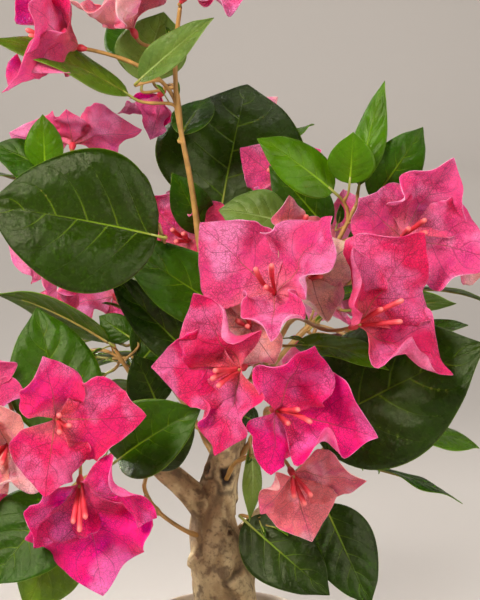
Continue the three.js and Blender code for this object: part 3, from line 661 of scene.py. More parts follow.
@dataclass
class GrowingRule:
    """How a spray fills its space round the listed shoots."""

    clear_other: float = 12
    clear_own: float = 8
    clear_limb: float = 9
    tries: int = 60
    golden_turn: float = 137.5
    leaf_length: tuple = (44, 82)
    leaf_ratio: tuple = (0.55, 0.78)
    leaf_bend: tuple = (15, 40)
    leaf_fold: float = 12
    bloom_size: tuple = (40, 50)
    stalk_length: tuple = (12, 44)
    stem_part: tuple = (0.35, 0.999)
    lift: tuple = (-0.5, 0.35)
    crown_middle: tuple = (0, 0, 270)
    outward: float = 0.9
    forward: float = 0.4
    face_outward: float = 0.6
    bract_turns: tuple = (0, 120, 240)
    leaf_tones: tuple = (L.FOREST, L.DARK, L.FOREST, L.OLIVE, L.FOREST, L.YOUNG)
    bloom_tones: tuple = (B.HOT, B.ROSE, B.HOT, B.CORAL)

    def shoot(self, spray: "Spray", kind: type, turn: float, draws: Draws) -> Leaf | Bloom:
        """Plans one shoot that turns round the stem and leans away from the crown's middle.

        Args:
            spray: The spray that it grows on.
            kind: Leaf or Bloom.
            turn: Its turn round the stem, in degrees.
            draws: The spray's own numbers.

        Returns:
            The planned leaf or bloom.
        """
        place = int(draws.between(*self.stem_part) * len(spray.stem.points))
        point, along = spray.stem.points[place], spray.stem.along[place]
        side = unit(np.cross((0, 0, 1), along))
        other = np.cross(along, side)
        angle = math.radians(turn)
        outward = unit(point - vector(self.crown_middle))
        heading = side * math.cos(angle) + other * math.sin(angle)
        heading = unit(heading + outward * self.outward + along * self.forward)
        root = point + heading * draws.between(*self.stalk_length)
        leaning = unit(heading + vector((0, 0, draws.between(*self.lift))))
        count = len(spray.shoots)
        if kind is Bloom:
            start = draws.between(*self.bract_turns[:2])
            turns = tuple(start + turn for turn in self.bract_turns)
            tone = self.bloom_tones[count % len(self.bloom_tones)]
            size = draws.between(*self.bloom_size)
            return Bloom(tuple(root), tuple(leaning), turns, size=size, tone=tone)
        tip = root + leaning * draws.between(*self.leaf_length)
        face = vector((0, 0, 1)) + outward * self.face_outward
        ratio, bend = draws.between(*self.leaf_ratio), draws.between(*self.leaf_bend)
        tone = self.leaf_tones[count % len(self.leaf_tones)]
        return Leaf(tuple(root), tuple(tip), tuple(face), ratio, bend, self.leaf_fold, tone)

    def fill(self, spray: "Spray", kind: type, count: int, draws: Draws, crown: "Crown") -> int:
        """Adds up to count shoots, skipping any that leaves the space or comes near anything.

        Args:
            spray: The spray to fill.
            kind: Leaf or Bloom.
            count: The most that it adds.
            draws: The spray's own numbers.
            crown: The other sprays and the limbs.

        Returns:
            The number of shoots kept.
        """
        kept = 0
        turn = draws.between(0, 360)
        others = [other for other in crown.sprays if other is not spray]
        blades = np.vstack([other.samples for other in others])
        thin = np.vstack([other.thin for other in others])
        for _ in range(count * self.tries):
            turn += self.golden_turn
            shoot = Shoot.of(self.shoot(spray, kind, turn, draws))
            stalk = Stalk.towards(spray.twigs, shoot)
            samples, way = shoot.samples(), stalk.points(spray.STALK_STEPS)
            tests = (
                (samples, crown.limb_samples, self.clear_limb),
                (samples, spray.samples, self.clear_own),
                (samples, blades, self.clear_other),
                (samples, thin, self.clear_own),
                (way[1:], blades, self.clear_own),
                (way[1:], thin, self.clear_own),
            )
            if not spray.holds(samples) or any(nearer(*test) for test in tests):
                continue
            spray.keep(shoot, stalk, samples)
            kept += 1
            if kept == count:
                break
        return kept


FINER_RULE = GrowingRule(
    clear_other=6, clear_own=4, clear_limb=26, tries=30, leaf_length=(7, 13), leaf_ratio=(0.35, 0.5),
    leaf_fold=24, stalk_length=(6, 17), leaf_tones=(L.YOUNG, L.FOREST, L.YOUNG),
)


class Spray:
    """A mass of twigs, leaves and blooms that grows from one stem."""

    STEM_STEPS = 2
    STALK_STEPS = 3

    def __init__(self, plan: SprayPlan) -> None:
        """Grows the stem and the listed shoots.

        Args:
            plan: The spray's plan.
        """
        self.plan = plan
        points = smooth_points(plan.stem, (len(plan.stem) - 1) * self.STEM_STEPS)
        self.stem = Twigs.through(points, 0.0)
        self.twigs = Twigs.through(points, 0.0)
        self.thin = points
        self.samples = np.zeros((0, 3))
        self.shoots: list[tuple[Shoot, Stalk]] = []
        for placed in plan.placed:
            shoot = Shoot.of(placed)
            self.keep(shoot, Stalk.towards(self.twigs, shoot), shoot.samples())

    def keep(self, shoot: Shoot, stalk: Stalk, samples: Points) -> None:
        """Takes a shoot into the spray, so that later ones may leave its stalk.

        Args:
            shoot: The shoot.
            stalk: Its stalk.
            samples: The points that stand for its blades.
        """
        way = stalk.points(self.STALK_STEPS)
        self.shoots.append((shoot, stalk))
        self.samples = np.vstack([self.samples, samples])
        self.thin = np.vstack([self.thin, way])
        self.twigs.add(Twigs.through(way[:-1], stalk.from_foot))

    def holds(self, samples: Points) -> bool:
        """Tells whether all points lie in the ellipsoid that is the spray's space."""
        part = (samples - vector(self.plan.at)) / vector(self.plan.reach)
        return bool(((part**2).sum(1) < 1).all())


class Crown:
    """All the sprays, grown by the rule around the limbs."""

    LIMB_STEPS = 30
    SPRIGS = 3

    def __init__(self, rule: GrowingRule, finer: GrowingRule) -> None:
        """Starts every spray, fills each in turn, and carries each to finer twigs.

        Args:
            rule: What fills the sprays.
            finer: What adds the finer twigs.
        """
        spines = [TRUNK_PLAN.spine, *(bough.spine for bough in BOUGH_PLANS)]
        self.limb_samples = np.vstack([smooth_points(spine, self.LIMB_STEPS) for spine in spines])
        self.sprays = [Spray(plan) for plan in SPRAY_PLANS]
        for spray in self.sprays:
            draws = Draws(spray.plan.seed)
            blooms = rule.fill(spray, Bloom, spray.plan.blooms, draws, self)
            leaves = rule.fill(spray, Leaf, spray.plan.leaves, draws, self)
            LOG.info("spray %s: %d blooms and %d leaves added", spray.plan.name, blooms, leaves)
        for spray in self.sprays:
            sprigs = finer.fill(spray, Leaf, self.SPRIGS, Draws(spray.plan.seed + 1), self)
            LOG.info("spray %s: %d fine sprigs", spray.plan.name, sprigs)


@dataclass
class Skin:
    """Patches of faces that become one mesh, with the coordinates that its patterns follow."""

    points: list = field(default_factory=list)
    faces: list = field(default_factory=list)
    slots: list = field(default_factory=list)
    blade: list = field(default_factory=list)
    cloth: list = field(default_factory=list)
    count: int = 0

    def add(
        self, points: Points, faces: list[tuple[Points, int]], blade: Points | None = None,
        cloth: Points | None = None,
    ) -> "Skin":
        """Adds a patch.

        Args:
            points: Its vertices, in millimetres.
            faces: Arrays of faces with equal numbers of corners, each with its finish's number.
            blade: For each vertex the place across, the place along and a number of the patch's own.
            cloth: For each vertex its place on the flat cloth, in millimetres.

        Returns:
            The skin itself.
        """
        blank = np.zeros((len(points), 3))
        self.points.append(points)
        self.blade.append(blank if blade is None else blade)
        self.cloth.append(blank if cloth is None else cloth)
        for corners, slot in faces:
            self.faces.append(corners + self.count)
            self.slots.append(np.full(len(corners), slot))
        self.count += len(points)
        return self

    def add_plain(self, points: Points, faces: list[Points], blade: Points | None = None) -> "Skin":
        """Adds a patch that has the first finish all over, and gives the skin itself."""
        return self.add(points, [(corners, 0) for corners in faces], blade)

    def piece(self, name: str, materials: list[Material], slot: str, *nodes: str) -> None:
        """Makes the mesh, dresses it and hangs it on the plant's body.

        Args:
            name: The piece's name.
            materials: The finishes, in the order of their numbers.
            slot: The name of a material slot; it is not used.
            *nodes: The nodes of the frame that it stands for.
        """
        mesh = bpy.data.meshes.new(name)
        vertices = np.vstack(self.points) * MM
        sizes = np.concatenate([np.full(len(f), f.shape[1]) for f in self.faces])
        corners = np.concatenate([f.ravel() for f in self.faces])
        mesh.vertices.add(len(vertices))
        mesh.vertices.foreach_set("co", vertices.astype(np.float32).ravel())
        mesh.loops.add(len(corners))
        mesh.loops.foreach_set("vertex_index", corners.astype(np.int32))
        mesh.polygons.add(len(sizes))
        starts = np.concatenate([[0], np.cumsum(sizes)[:-1]])
        mesh.polygons.foreach_set("loop_start", starts.astype(np.int32))
        mesh.polygons.foreach_set("material_index", np.concatenate(self.slots).astype(np.int32))
        mesh.polygons.foreach_set("use_smooth", np.ones(len(sizes), bool))
        for title, values in (("blade", self.blade), ("cloth", self.cloth)):
            layer = mesh.attributes.new(title, "FLOAT_VECTOR", "POINT")
            layer.data.foreach_set("vector", np.vstack(values).astype(np.float32).ravel())
        mesh.update(calc_edges=True)
        mesh.validate()
        for material in materials:
            mesh.materials.append(material)
        made = bpy.data.objects.new(name, mesh)
        bpy.context.scene.collection.objects.link(made)
        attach(made, BODY)
        if nodes:
            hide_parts(*nodes)
        LOG.info("%s: %d vertices, %d faces", name, len(vertices), len(sizes))


def grid_faces(rows: int, columns: int, closed: bool = False) -> Points:
    """Joins the points of a grid into four-sided faces that look along columns times rows.

    Args:
        rows: The number of rows of points.
        columns: The number of points in a row.
        closed: Whether the last point of a row joins the first.

    Returns:
        The corners of each face.
    """
    steps = columns if closed else columns - 1
    row, column = np.meshgrid(np.arange(rows - 1), np.arange(steps), indexing="ij")
    here = row * columns + column
    there = row * columns + (column + 1) % columns
    return np.stack([here, there, there + columns, here + columns], -1).reshape(-1, 4)


def barrel_faces(rings: int, sides: int) -> list[Points]:
    """Joins rings of points into a wall and closes both ends with one face each."""
    ring = np.arange(sides)[None]
    return [grid_faces(rings, sides, True), ring[:, ::-1], ring + (rings - 1) * sides]


def sheet_faces(rows: int, columns: int) -> tuple[Points, Points, Points]:
    """Joins two grids, front and back, into a closed sheet with a rim all round.

    Args:
        rows: The number of rows of each grid.
        columns: The number of points in a row.

    Returns:
        The faces of the front, of the back and of the rim.
    """
    front = grid_faces(rows, columns)
    size = rows * columns
    number = np.arange(size).reshape(rows, columns)
    edges = [
        (number[:-1, -1], number[1:, -1]), (number[1:, 0], number[:-1, 0]),
        (number[0, :-1], number[0, 1:]), (number[-1, 1:], number[-1, :-1]),
    ]
    rim = [np.stack([a, a + size, b + size, b], -1) for a, b in edges]
    return front, front[:, ::-1] + size, np.vstack(rim)


def normals_of(points: Points) -> Points:
    """Gives a grid's normals, as the product of its steps across and along."""
    return unit(np.cross(np.gradient(points, axis=1), np.gradient(points, axis=0)))


def angles_round(sides: int) -> Points:
    """Gives the angles of a ring's points."""
    return np.arange(sides) / sides * 2 * np.pi


def tube(path: Points, radii: Points, sides: int) -> tuple[Points, list[Points]]:
    """Carries a ring of points along a path and closes both ends.

    The ring's first direction is taken along the path by removing at each step what points forward.

    Args:
        path: The points of the path.
        radii: The radius at each point, or at each point and side.
        sides: The number of points in a ring.

    Returns:
        The vertices, and the faces as the wall and the two ends.
    """
    along = Twigs.through(path, 0.0).along
    across = np.zeros_like(along)
    first = vector((1, 0, 0)) if abs(along[0, 0]) < 0.9 else vector((0, 1, 0))
    for step, forward in enumerate(along):
        first = unit(first - forward * (first @ forward))
        across[step] = first
    other = np.cross(along, across)
    angle = angles_round(sides)[None, :, None]
    radii = radii if np.ndim(radii) == 2 else np.reshape(radii, (-1, 1))
    ring = across[:, None] * np.cos(angle) + other[:, None] * np.sin(angle)
    points = path[:, None] + ring * np.broadcast_to(radii, (len(path), sides))[..., None]
    return points.reshape(-1, 3), barrel_faces(len(path), sides)


def tinted(colour: tuple, *shares: float) -> tuple:
    """Multiplies a colour by one share, or by a share for each of its numbers."""
    shares = shares if len(shares) > 1 else shares * 3
    return tuple(c * share for c, share in zip(colour, shares))


def paled(colour: tuple, *parts: float) -> tuple:
    """Moves a colour a part of the way to white, or each of its numbers a part of its own."""
    parts = parts if len(parts) > 1 else parts * 3
    return tuple(c + (255 - c) * part for c, part in zip(colour, parts))


def screen(colour: tuple) -> tuple[float, float, float, float]:
    """Turns a screen colour into the linear one that shaders take.

    Args:
        colour: Red, green and blue from 0 to 255.

    Returns:
        The same from 0 to 1, with an alpha of 1.
    """
    part = np.array(colour) / 255
    linear = np.where(part <= 0.04045, part / 12.92, ((part + 0.055) / 1.055) ** 2.4)
    return (*map(float, linear), 1.0)


class Graph:
    """A short way to write the nodes of a material or a node group."""

    def __init__(self, tree: bpy.types.NodeTree) -> None:
        """Works on one node tree."""
        self.tree = tree

    def put(self, socket: Socket, value: object) -> None:
        """Fills a socket.

        Args:
            socket: The socket.
            value: The socket that is linked into it, or its plain value.
        """
        if isinstance(value, Socket):
            self.tree.links.new(value, socket)
        else:
            socket.default_value = value

    def node(self, kind: str, inputs: dict | None = None, **settings: object) -> bpy.types.Node:
        """Adds a node.

        Args:
            kind: Blender's name of the node type, less what all shader nodes' names begin with.
            inputs: Values or sockets by input name or number.
            **settings: The node's own settings.

        Returns:
            The node.
        """
        made = self.tree.nodes.new(f"ShaderNode{kind}")
        for name, value in settings.items():
            setattr(made, name, value)
        for name, value in (inputs or {}).items():
            self.put(made.inputs[name], value)
        return made

    def math(self, operation: str, *values: object) -> Socket:
        """Gives the result of a math node."""
        return self.node("Math", dict(enumerate(values)), operation=operation).outputs[0]

    def times(self, first: object, second: object) -> Socket:
        """Gives the product of two numbers."""
        return self.math("MULTIPLY", first, second)

    def plus(self, first: object, second: object) -> Socket:
        """Gives the sum of two numbers."""
        return self.math("ADD", first, second)

    def less(self, first: object, second: object) -> Socket:
        """Gives the first number less the second."""
        return self.math("SUBTRACT", first, second)

    def over(self, first: object, second: object) -> Socket:
        """Gives the first number as a part of the second."""
        return self.math("DIVIDE", first, second)

    def size(self, value: object) -> Socket:
        """Gives a number without its sign."""
        return self.math("ABSOLUTE", value)

    def total(self, *shares: tuple[object, float]) -> Socket:
        """Adds up patterns, each by its own share."""
        scaled = [self.times(pattern, share) for pattern, share in shares]
        return functools.reduce(self.plus, scaled)

    def coats(self, colour: object, *coats: tuple[object, object]) -> object:
        """Lays coats over a colour in turn.

        Args:
            colour: The ground.
            *coats: The mask and the colour of each coat.

        Returns:
            The mixed colour.
        """
        for mask, coat in coats:
            made = self.node("Mix", data_type="RGBA", blend_type="MIX")
            for index, value in ((0, mask), (6, colour), (7, coat)):
                self.put(made.inputs[index], value)
            colour = made.outputs[2]
        return colour

    def rise(
        self, value: object, low: float, high: float, start: float = 0, end: float = 1
    ) -> Socket:
        """Gives a number that rises smoothly from start at low to end at high."""
        inputs = {"Value": value, "From Min": low, "From Max": high, "To Min": start, "To Max": end}
        return self.node("MapRange", inputs, interpolation_type="SMOOTHSTEP").outputs["Result"]

    def noise(self, place: object, scale: float, detail: float = 3, name: str = "Fac") -> Socket:
        """Gives a noise pattern."""
        inputs = {"Vector": place, "Scale": scale, "Detail": detail}
        return self.node("TexNoise", inputs).outputs[name]

    def attribute(self, name: str) -> Socket:
        """Gives the vector that a mesh attribute holds."""
        return self.node("Attribute", attribute_name=name).outputs["Vector"]

    def parts(self, place: object) -> tuple:
        """Splits a vector into its three numbers."""
        return tuple(self.node("SeparateXYZ", {0: place}).outputs)

    def group(self, group: bpy.types.NodeTree, **inputs: object) -> bpy.types.Node:
        """Places a node group with its own values."""
        return self.node("Group", inputs, node_tree=group)


class Paint(Graph):
    """The graph of a new material, with its shader and the place on the object."""

    def __init__(self, name: str) -> None:
        """Starts a material.

        Args:
            name: Its name.
        """
        self.material = bpy.data.materials.new(name)
        self.material.use_nodes = True
        super().__init__(self.material.node_tree)
        self.shader = self.tree.nodes["Principled BSDF"]

    def place(self) -> Socket:
        """Gives the place on the object."""
        return self.node("TexCoord").outputs["Object"]

    def plain(self, **values: object) -> None:
        """Sets the shader's own sockets, whose names have _ in place of spaces, to plain values."""
        for name, value in values.items():
            self.shader.inputs[name.replace("_", " ")].default_value = value

    def finish(
        self, colour: Socket, roughness: Socket, height: Socket, depth: float, strength: float
    ) -> Material:
        """Fills the shader's linked sockets.

        Args:
            colour: Its base colour.
            roughness: Its roughness.
            height: The height of its small relief.
            depth: The depth of the relief, in metres.
            strength: How much of the relief shows.

        Returns:
            The finished material.
        """
        bump = self.node("Bump", {"Height": height, "Distance": depth, "Strength": strength})
        links = {"Base Color": colour, "Roughness": roughness, "Normal": bump.outputs[0]}
        for name, value in links.items():
            self.put(self.shader.inputs[name], value)
        return self.material


def new_group(name: str, output: str, **inputs: str) -> tuple[Graph, dict, dict]:
    """Starts a node group.

    Args:
        name: Its name.
        output: The names of the numbers that it gives, with spaces between them.
        **inputs: Each input's name and its kind of socket, Float or Vector.

    Returns:
        Its graph, the sockets that it reads, and the sockets that it fills.
    """
    tree = bpy.data.node_groups.new(name, "ShaderNodeTree")
    for title, kind in inputs.items():
        tree.interface.new_socket(title, in_out="INPUT", socket_type=f"NodeSocket{kind}")
    for title in output.split():
        tree.interface.new_socket(title, in_out="OUTPUT", socket_type="NodeSocketFloat")
    source = tree.nodes.new("NodeGroupInput").outputs
    target = tree.nodes.new("NodeGroupOutput").inputs
    return Graph(tree), {t: source[t] for t in inputs}, {t: target[t] for t in output.split()}


@dataclass(frozen=True)
class Ribbing:
    """How the ribs of a blade run.

    There are so many pairs along it, at a slant, and one side lags the other. The midrib's half width
    is in millimetres, a side rib's is a part of the step between two.
    """

    pairs: float
    slant: float
    midrib: float
    side: float
    lag: float = 0.17


LEAF_RIBS = Ribbing(5.6, 0.34, 0.9, 0.05)
BRACT_RIBS = Ribbing(4.4, 0.42, 0.5, 0.04)
RIB_CURVE = 0.38


def quilt(t: Points, part: Points, sign: int, ribs: Ribbing) -> Points:
    """Gives the swelling between side ribs: the size of a cosine, so that each rib lies in a valley.

    Args:
        t: The places along the blade.
        part: The places from the centre line out.
        sign: The side, -1 or 1.
        ribs: How the side ribs run.

    Returns:
        The swelling at each place.
    """
    slanted = t - ribs.slant * part * (1 - RIB_CURVE + RIB_CURVE * part)
    phase = ribs.pairs * slanted + ribs.lag * sign
    return (np.abs(np.cos(np.pi * phase)) ** 0.8 - 0.6) * part**0.6 * (1 - part)


class Effects:
    """Node groups that more than one finish uses."""

    def __init__(self) -> None:
        """Builds each group once."""
        self.ribs = self.make_ribs()
        self.net = self.make_net()
        self.weave = self.make_weave()

    @staticmethod
    def make_ribs() -> bpy.types.NodeTree:
        """Makes midrib and side ribs: lines at even steps of the way along, less a slant that grows.

        Returns:
            The group.
        """
        graph, given, filled = new_group(
            "ribs", "Midrib Sides", Blade="Vector", Cloth="Vector", Pairs="Float", Slant="Float",
            Midrib="Float", Side="Float",
        )
        across, along, _ = graph.parts(given["Blade"])
        x, _, _ = graph.parts(given["Cloth"])
        width = graph.times(given["Midrib"], graph.less(1.0, graph.times(along, 0.75)))
        graph.put(filled["Midrib"], graph.rise(graph.over(graph.size(x), width), 0.55, 1.0, 1, 0))
        part = graph.size(across)
        curve = graph.times(part, graph.plus(1 - RIB_CURVE, graph.times(part, RIB_CURVE)))
        start = graph.less(along, graph.times(curve, given["Slant"]))
        stagger = graph.times(graph.math("SIGN", across), LEAF_RIBS.lag)
        phase = graph.plus(graph.times(start, given["Pairs"]), stagger)
        gap = graph.size(graph.less(graph.math("FRACT", phase), 0.5))
        thin = graph.times(given["Side"], graph.less(1.0, graph.times(part, 0.7)))
        line = graph.rise(graph.over(gap, thin), 0.4, 1.0, 1, 0)
        ends = graph.times(graph.rise(part, 0.75, 0.96, 1, 0), graph.rise(start, -0.02, 0.03))
        graph.put(filled["Sides"], graph.times(line, ends))
        return graph.tree

    @staticmethod
    def make_net() -> bpy.types.NodeTree:
        """Makes a fine net of printed veins, the borders of cells scattered over the flat cloth.

        Returns:
            The group.
        """
        graph, given, filled = new_group("net", "Mask", Cloth="Vector", Cell="Float", Line="Float")
        wander = graph.noise(given["Cloth"], 0.22, 2, "Color")
        moved = graph.node("VectorMath", {0: wander, 1: (3.0, 3.0, 0)}, operation="MULTIPLY")
        place = graph.node("VectorMath", {0: given["Cloth"], 1: moved.outputs[0]}, operation="ADD")
        inputs = {"Vector": place.outputs[0], "Scale": graph.over(1.0, given["Cell"])}
        cells = graph.node("TexVoronoi", inputs, voronoi_dimensions="3D", feature="DISTANCE_TO_EDGE")
        edge = graph.over(cells.outputs["Distance"], given["Line"])
        graph.put(filled["Mask"], graph.rise(edge, 0.35, 1.0, 1, 0))
        return graph.tree

    @staticmethod
    def make_weave() -> bpy.types.NodeTree:
        """Makes the height of plain woven cloth, two crossed rows of threads.

        Returns:
            The group.
        """
        graph, given, filled = new_group("weave", "Height", Cloth="Vector", Pitch="Float")
        turn = graph.over(2 * math.pi, given["Pitch"])
        x, y, _ = graph.parts(given["Cloth"])
        warp, weft = (graph.math("SINE", graph.times(value, turn)) for value in (x, y))
        graph.put(filled["Height"], graph.times(warp, weft))
        return graph.tree

    def ribbed(self, graph: Graph, blade: Socket, cloth: Socket, ribs: Ribbing) -> tuple:
        """Places the ribs in a finish.

        Args:
            graph: The finish's graph.
            blade: The place across and along.
            cloth: The place on the flat cloth.
            ribs: How the ribs run.

        Returns:
            The masks of the midrib and of the side ribs.
        """
        values = {"Pairs": ribs.pairs, "Slant": ribs.slant, "Midrib": ribs.midrib, "Side": ribs.side}
        made = graph.group(self.ribs, Blade=blade, Cloth=cloth, **values)
        return made.outputs["Midrib"], made.outputs["Sides"]


@dataclass(frozen=True)
class LeafFinish:
    """Coated cloth of one dye lot, with moulded ribs and a soft sheen."""

    tone: LeafTone
    under: bool
    effects: Effects
    roughness: float = 0.25
    under_extra: float = 0.16
    under_rib: tuple = (150, 104, 52)
    thread_pitch: float = 0.5
    glow: float = 0.1
    glow_reach: tuple = (1.0, 1.6, 0.35)

    def material(self) -> Material:
        """Gives the finish of the upper face or of the underside.

        Mottles, the blade's own shade, a warmer strip along the midrib, flecks, ribs and a rim lie over
        each other as coats.

        Returns:
            The material.
        """
        upper, lower, vein = self.tone.value
        paint = Paint(f"leaf_{self.tone.name.lower()}_{'under' if self.under else 'upper'}")
        blade, cloth = paint.attribute("blade"), paint.attribute("cloth")
        across, along, own = paint.parts(blade)
        midrib, sides = self.effects.ribbed(paint, blade, cloth, LEAF_RIBS)
        weave = paint.group(self.effects.weave, Cloth=cloth, Pitch=self.thread_pitch)
        main = lower if self.under else upper
        warm = screen((upper[0] * 1.3 + 8, upper[1] * 1.12 + 6, upper[2] * 0.8))
        rib_colour = screen(self.under_rib if self.under else vein)
        place, out = paint.place(), paint.size(across)
        side_start = 0.45 if self.under else 0.24
        colour = paint.coats(
            screen(main),
            (paint.rise(paint.noise(place, 55, 4), 0.35, 0.68), screen(tinted(main, 0.72))),
            (paint.times(own, 0.45), warm),
            (paint.rise(out, 0.0, 0.55, 0.3, 0), warm),
            (
                paint.rise(paint.noise(cloth, 0.75, 3), 0.56, 0.72, 0, 0.3),
                screen(tuple(0.6 * a + 0.4 * b for a, b in zip(upper, vein))),
            ),
            (paint.times(midrib, paint.rise(along, 0.05, 0.85, 0.85, 0.06)), rib_colour),
            (paint.times(sides, paint.rise(out, 0.05, 0.6, side_start, 0.03)), rib_colour),
            (paint.rise(out, 0.975, 1.0, 0, 0.3), screen(vein)),
        )
        height = paint.total(
            (sides, 1.0 if self.under else -0.7), (midrib, 1.2), (weave.outputs["Height"], 0.08),
            (paint.noise(cloth, 0.13, 2), 3.4), (paint.noise(cloth, 0.9, 3), 0.4),
        )
        shine = self.roughness + (self.under_extra if self.under else 0)
        paint.plain(
            Specular_IOR_Level=0.25, Specular_Tint=screen((255, 255, 214)), Subsurface_Weight=self.glow,
            Subsurface_Radius=self.glow_reach, Subsurface_Scale=GLOW_DEPTH,
        )
        wear = paint.rise(paint.noise(place, 120, 4), 0.3, 0.7, shine - 0.05, shine + 0.09)
        return paint.finish(colour, wear, height, 0.00035, 0.9)


@dataclass(frozen=True)
class BractFinish:
    """Thin papery cloth of one dye lot, printed with a fine net of dark veins."""

    tone: BractTone
    outer: bool
    effects: Effects
    roughness: float = 0.56
    thread_pitch: float = 0.45
    fine_net: tuple = (1.3, 0.13)
    coarse_net: tuple = (3.4, 0.055)
    vein_share: tuple = (0.5, 0.27)
    pale_vein_share: float = 0.6
    glow: float = 0.5
    glow_reach: tuple = (1.8, 0.6, 0.9)

    def net(self, paint: Paint, cloth: Socket, cell: float, line: float) -> Socket:
        """Gives the mask of a net of veins with cells and lines of these sizes."""
        return paint.group(self.effects.net, Cloth=cloth, Cell=cell, Line=line).outputs["Mask"]

    def material(self) -> Material:
        """Gives the finish of the inner or the outer face.

        Pale patches, partly blotchy dye and partly painted highlight, deep patches, partly blotchy dye
        and partly painted shade, the foot's colour, the veins, the midrib and a pale frayed rim that is
        partly painted highlight lie over each other as coats.

        Returns:
            The material.
        """
        inner, foot, outer = self.tone.value
        paint = Paint(f"bract_{self.tone.name.lower()}_{'outer' if self.outer else 'inner'}")
        blade, cloth = paint.attribute("blade"), paint.attribute("cloth")
        across, along, _ = paint.parts(blade)
        midrib, sides = self.effects.ribbed(paint, blade, cloth, BRACT_RIBS)
        fine, coarse = self.net(paint, cloth, *self.fine_net), self.net(paint, cloth, *self.coarse_net)
        weave = paint.group(self.effects.weave, Cloth=cloth, Pitch=self.thread_pitch)
        main = outer if self.outer else inner
        patches = paint.noise(cloth, 0.04, 2)
        reach = paint.plus(along, paint.times(patches, 0.24))
        # A darker, more saturated pink for the deep patches: partly blotchy dye, partly painted shade.
        deep_dye_and_shade = screen(tinted(main, 0.88, 0.4, 0.94))
        vein = screen((inner[0] * 0.5, inner[1] * 0.36 + 4, inner[2] * 0.42))
        share = self.vein_share[self.outer] * (1 if inner[1] < 100 else self.pale_vein_share)
        patchy = paint.rise(paint.noise(cloth, 0.07, 2), 0.3, 0.62, 0.4 * share, share)
        rib = paint.coats(screen((168, 84, 44)), (paint.rise(along, 0.2, 0.75), vein))
        rim = paint.rise(paint.size(across), 0.975, 1.0, 0, 0.3)
        frayed_glint = paint.rise(paint.noise(cloth, 0.16, 2), 0.45, 0.6)
        colour = paint.coats(
            screen(main),
            # Pale patches: partly blotchy dye, partly painted highlight.
            (paint.rise(patches, 0.48, 0.64, 0, 0.85), screen(paled(main, 0.4, 0.32, 0.4))),
            # Deep patches: partly blotchy dye, partly painted shade.
            (paint.rise(paint.noise(cloth, 0.09, 3), 0.5, 0.7, 0, 0.6), deep_dye_and_shade),
            (paint.rise(reach, 0.12, 0.46, 0.75, 0), screen(foot)),
            (paint.times(fine, patchy), vein),
            (paint.times(coarse, patchy), vein),
            (paint.times(sides, share), vein),
            (paint.times(midrib, 0.75), rib),
            # A pale frayed margin in patches: partly frayed cloth, partly painted highlight where the
            # margin catches light.
            (paint.times(rim, frayed_glint), screen(paled(outer, 0.45))),
        )
        height = paint.total(
            (weave.outputs["Height"], 0.12), (fine, -0.3), (sides, 0.8), (midrib, 1.2),
            (paint.noise(cloth, 0.2, 4), 6.5),
        )
        paint.plain(
            Sheen_Weight=0.12, Sheen_Roughness=0.4, Sheen_Tint=screen((255, 190, 216)),
            Specular_IOR_Level=0.2, Subsurface_Weight=self.glow, Subsurface_Radius=self.glow_reach,
            Subsurface_Scale=GLOW_DEPTH,
        )
        wear = paint.noise(paint.place(), 220, 2)
        wear = paint.rise(wear, 0.3, 0.7, self.roughness - 0.08, self.roughness + 0.1)
        return paint.finish(colour, wear, height, 0.0003, 1.0)


@dataclass(frozen=True)
class RodFinish:
    """Moulded plastic of a round part whose colour changes along it."""

    name: str
    foot: tuple
    tip: tuple
    turn: tuple
    roughness: float = 0.45

    def material(self) -> Material:
        """Gives the finish, which turns from one colour to the other along the part.

        Returns:
            The material.
        """
        paint = Paint(self.name)
        _, along, own = paint.parts(paint.attribute("blade"))
        place = paint.place()
        colour = paint.coats(
            screen(self.foot),
            (paint.rise(paint.noise(place, 130, 4), 0.38, 0.66), screen(tinted(self.foot, 0.84))),
            (paint.times(own, 0.3), screen(tinted(self.foot, 0.75))),
            (paint.rise(along, *self.turn), screen(self.tip)),
        )
        fine = paint.noise(place, 420, 3)
        wear = paint.rise(fine, 0.3, 0.7, self.roughness - 0.08, self.roughness + 0.12)
        return paint.finish(colour, wear, fine, 0.0003, 0.5)


@dataclass(frozen=True)
class BarkFinish:
    """Moulded bark painted tan, with dark blotches, pale streaks that favour its ridges, darker low
    parts of its relief, and painted shade in its pits.
    """

    tan: tuple = (162, 134, 94)
    pale: tuple = (200, 177, 134)
    dark: tuple = (96, 74, 52)
    pit_shade_colour: tuple = (48, 36, 26)

    def material(self) -> Material:
        """Gives the finish, which reads the relief that the mesh holds.

        Returns:
            The material.
        """
        paint = Paint("bark")
        relief, pit_shade, _ = paint.parts(paint.attribute("blade"))
        place, dark = paint.place(), screen(self.dark)
        tall = paint.node("Mapping", {"Vector": place, "Scale": (1.0, 1.0, 0.6)}).outputs[0]
        blotch = paint.noise(tall, 70, 4)
        streak = paint.plus(paint.noise(tall, 90, 4), paint.times(relief, 0.2))
        smudge = paint.rise(paint.noise(place, 130, 4), 0.5, 0.66, 0, 0.75)
        colour = paint.coats(
            screen(self.tan),
            (paint.rise(blotch, 0.5, 0.7, 0, 0.75), dark),
            (paint.rise(streak, 0.44, 0.66, 0, 0.85), screen(self.pale)),
            # Darker in the low parts of the relief.
            (paint.rise(relief, -0.3, -1.0, 0, 0.7), dark),
            (paint.rise(paint.noise(place, 520, 2), 0.5, 0.75, 0, 0.5), dark),
            # Dark smudges, weaker on the highest ridges.
            (paint.times(smudge, paint.rise(relief, 0.5, 1.1, 1, 0.2)), dark),
            # Painted shade in the knots' pits and grooves and in the boughs' closed ends.
            (paint.rise(pit_shade, 0.15, 0.85), screen(self.pit_shade_colour)),
        )
        grit = paint.plus(paint.noise(tall, 420, 5), paint.times(paint.noise(tall, 170, 4), 1.6))
        return paint.finish(colour, paint.rise(blotch, 0.3, 0.7, 0.72, 0.95), grit, 0.0011, 0.8)


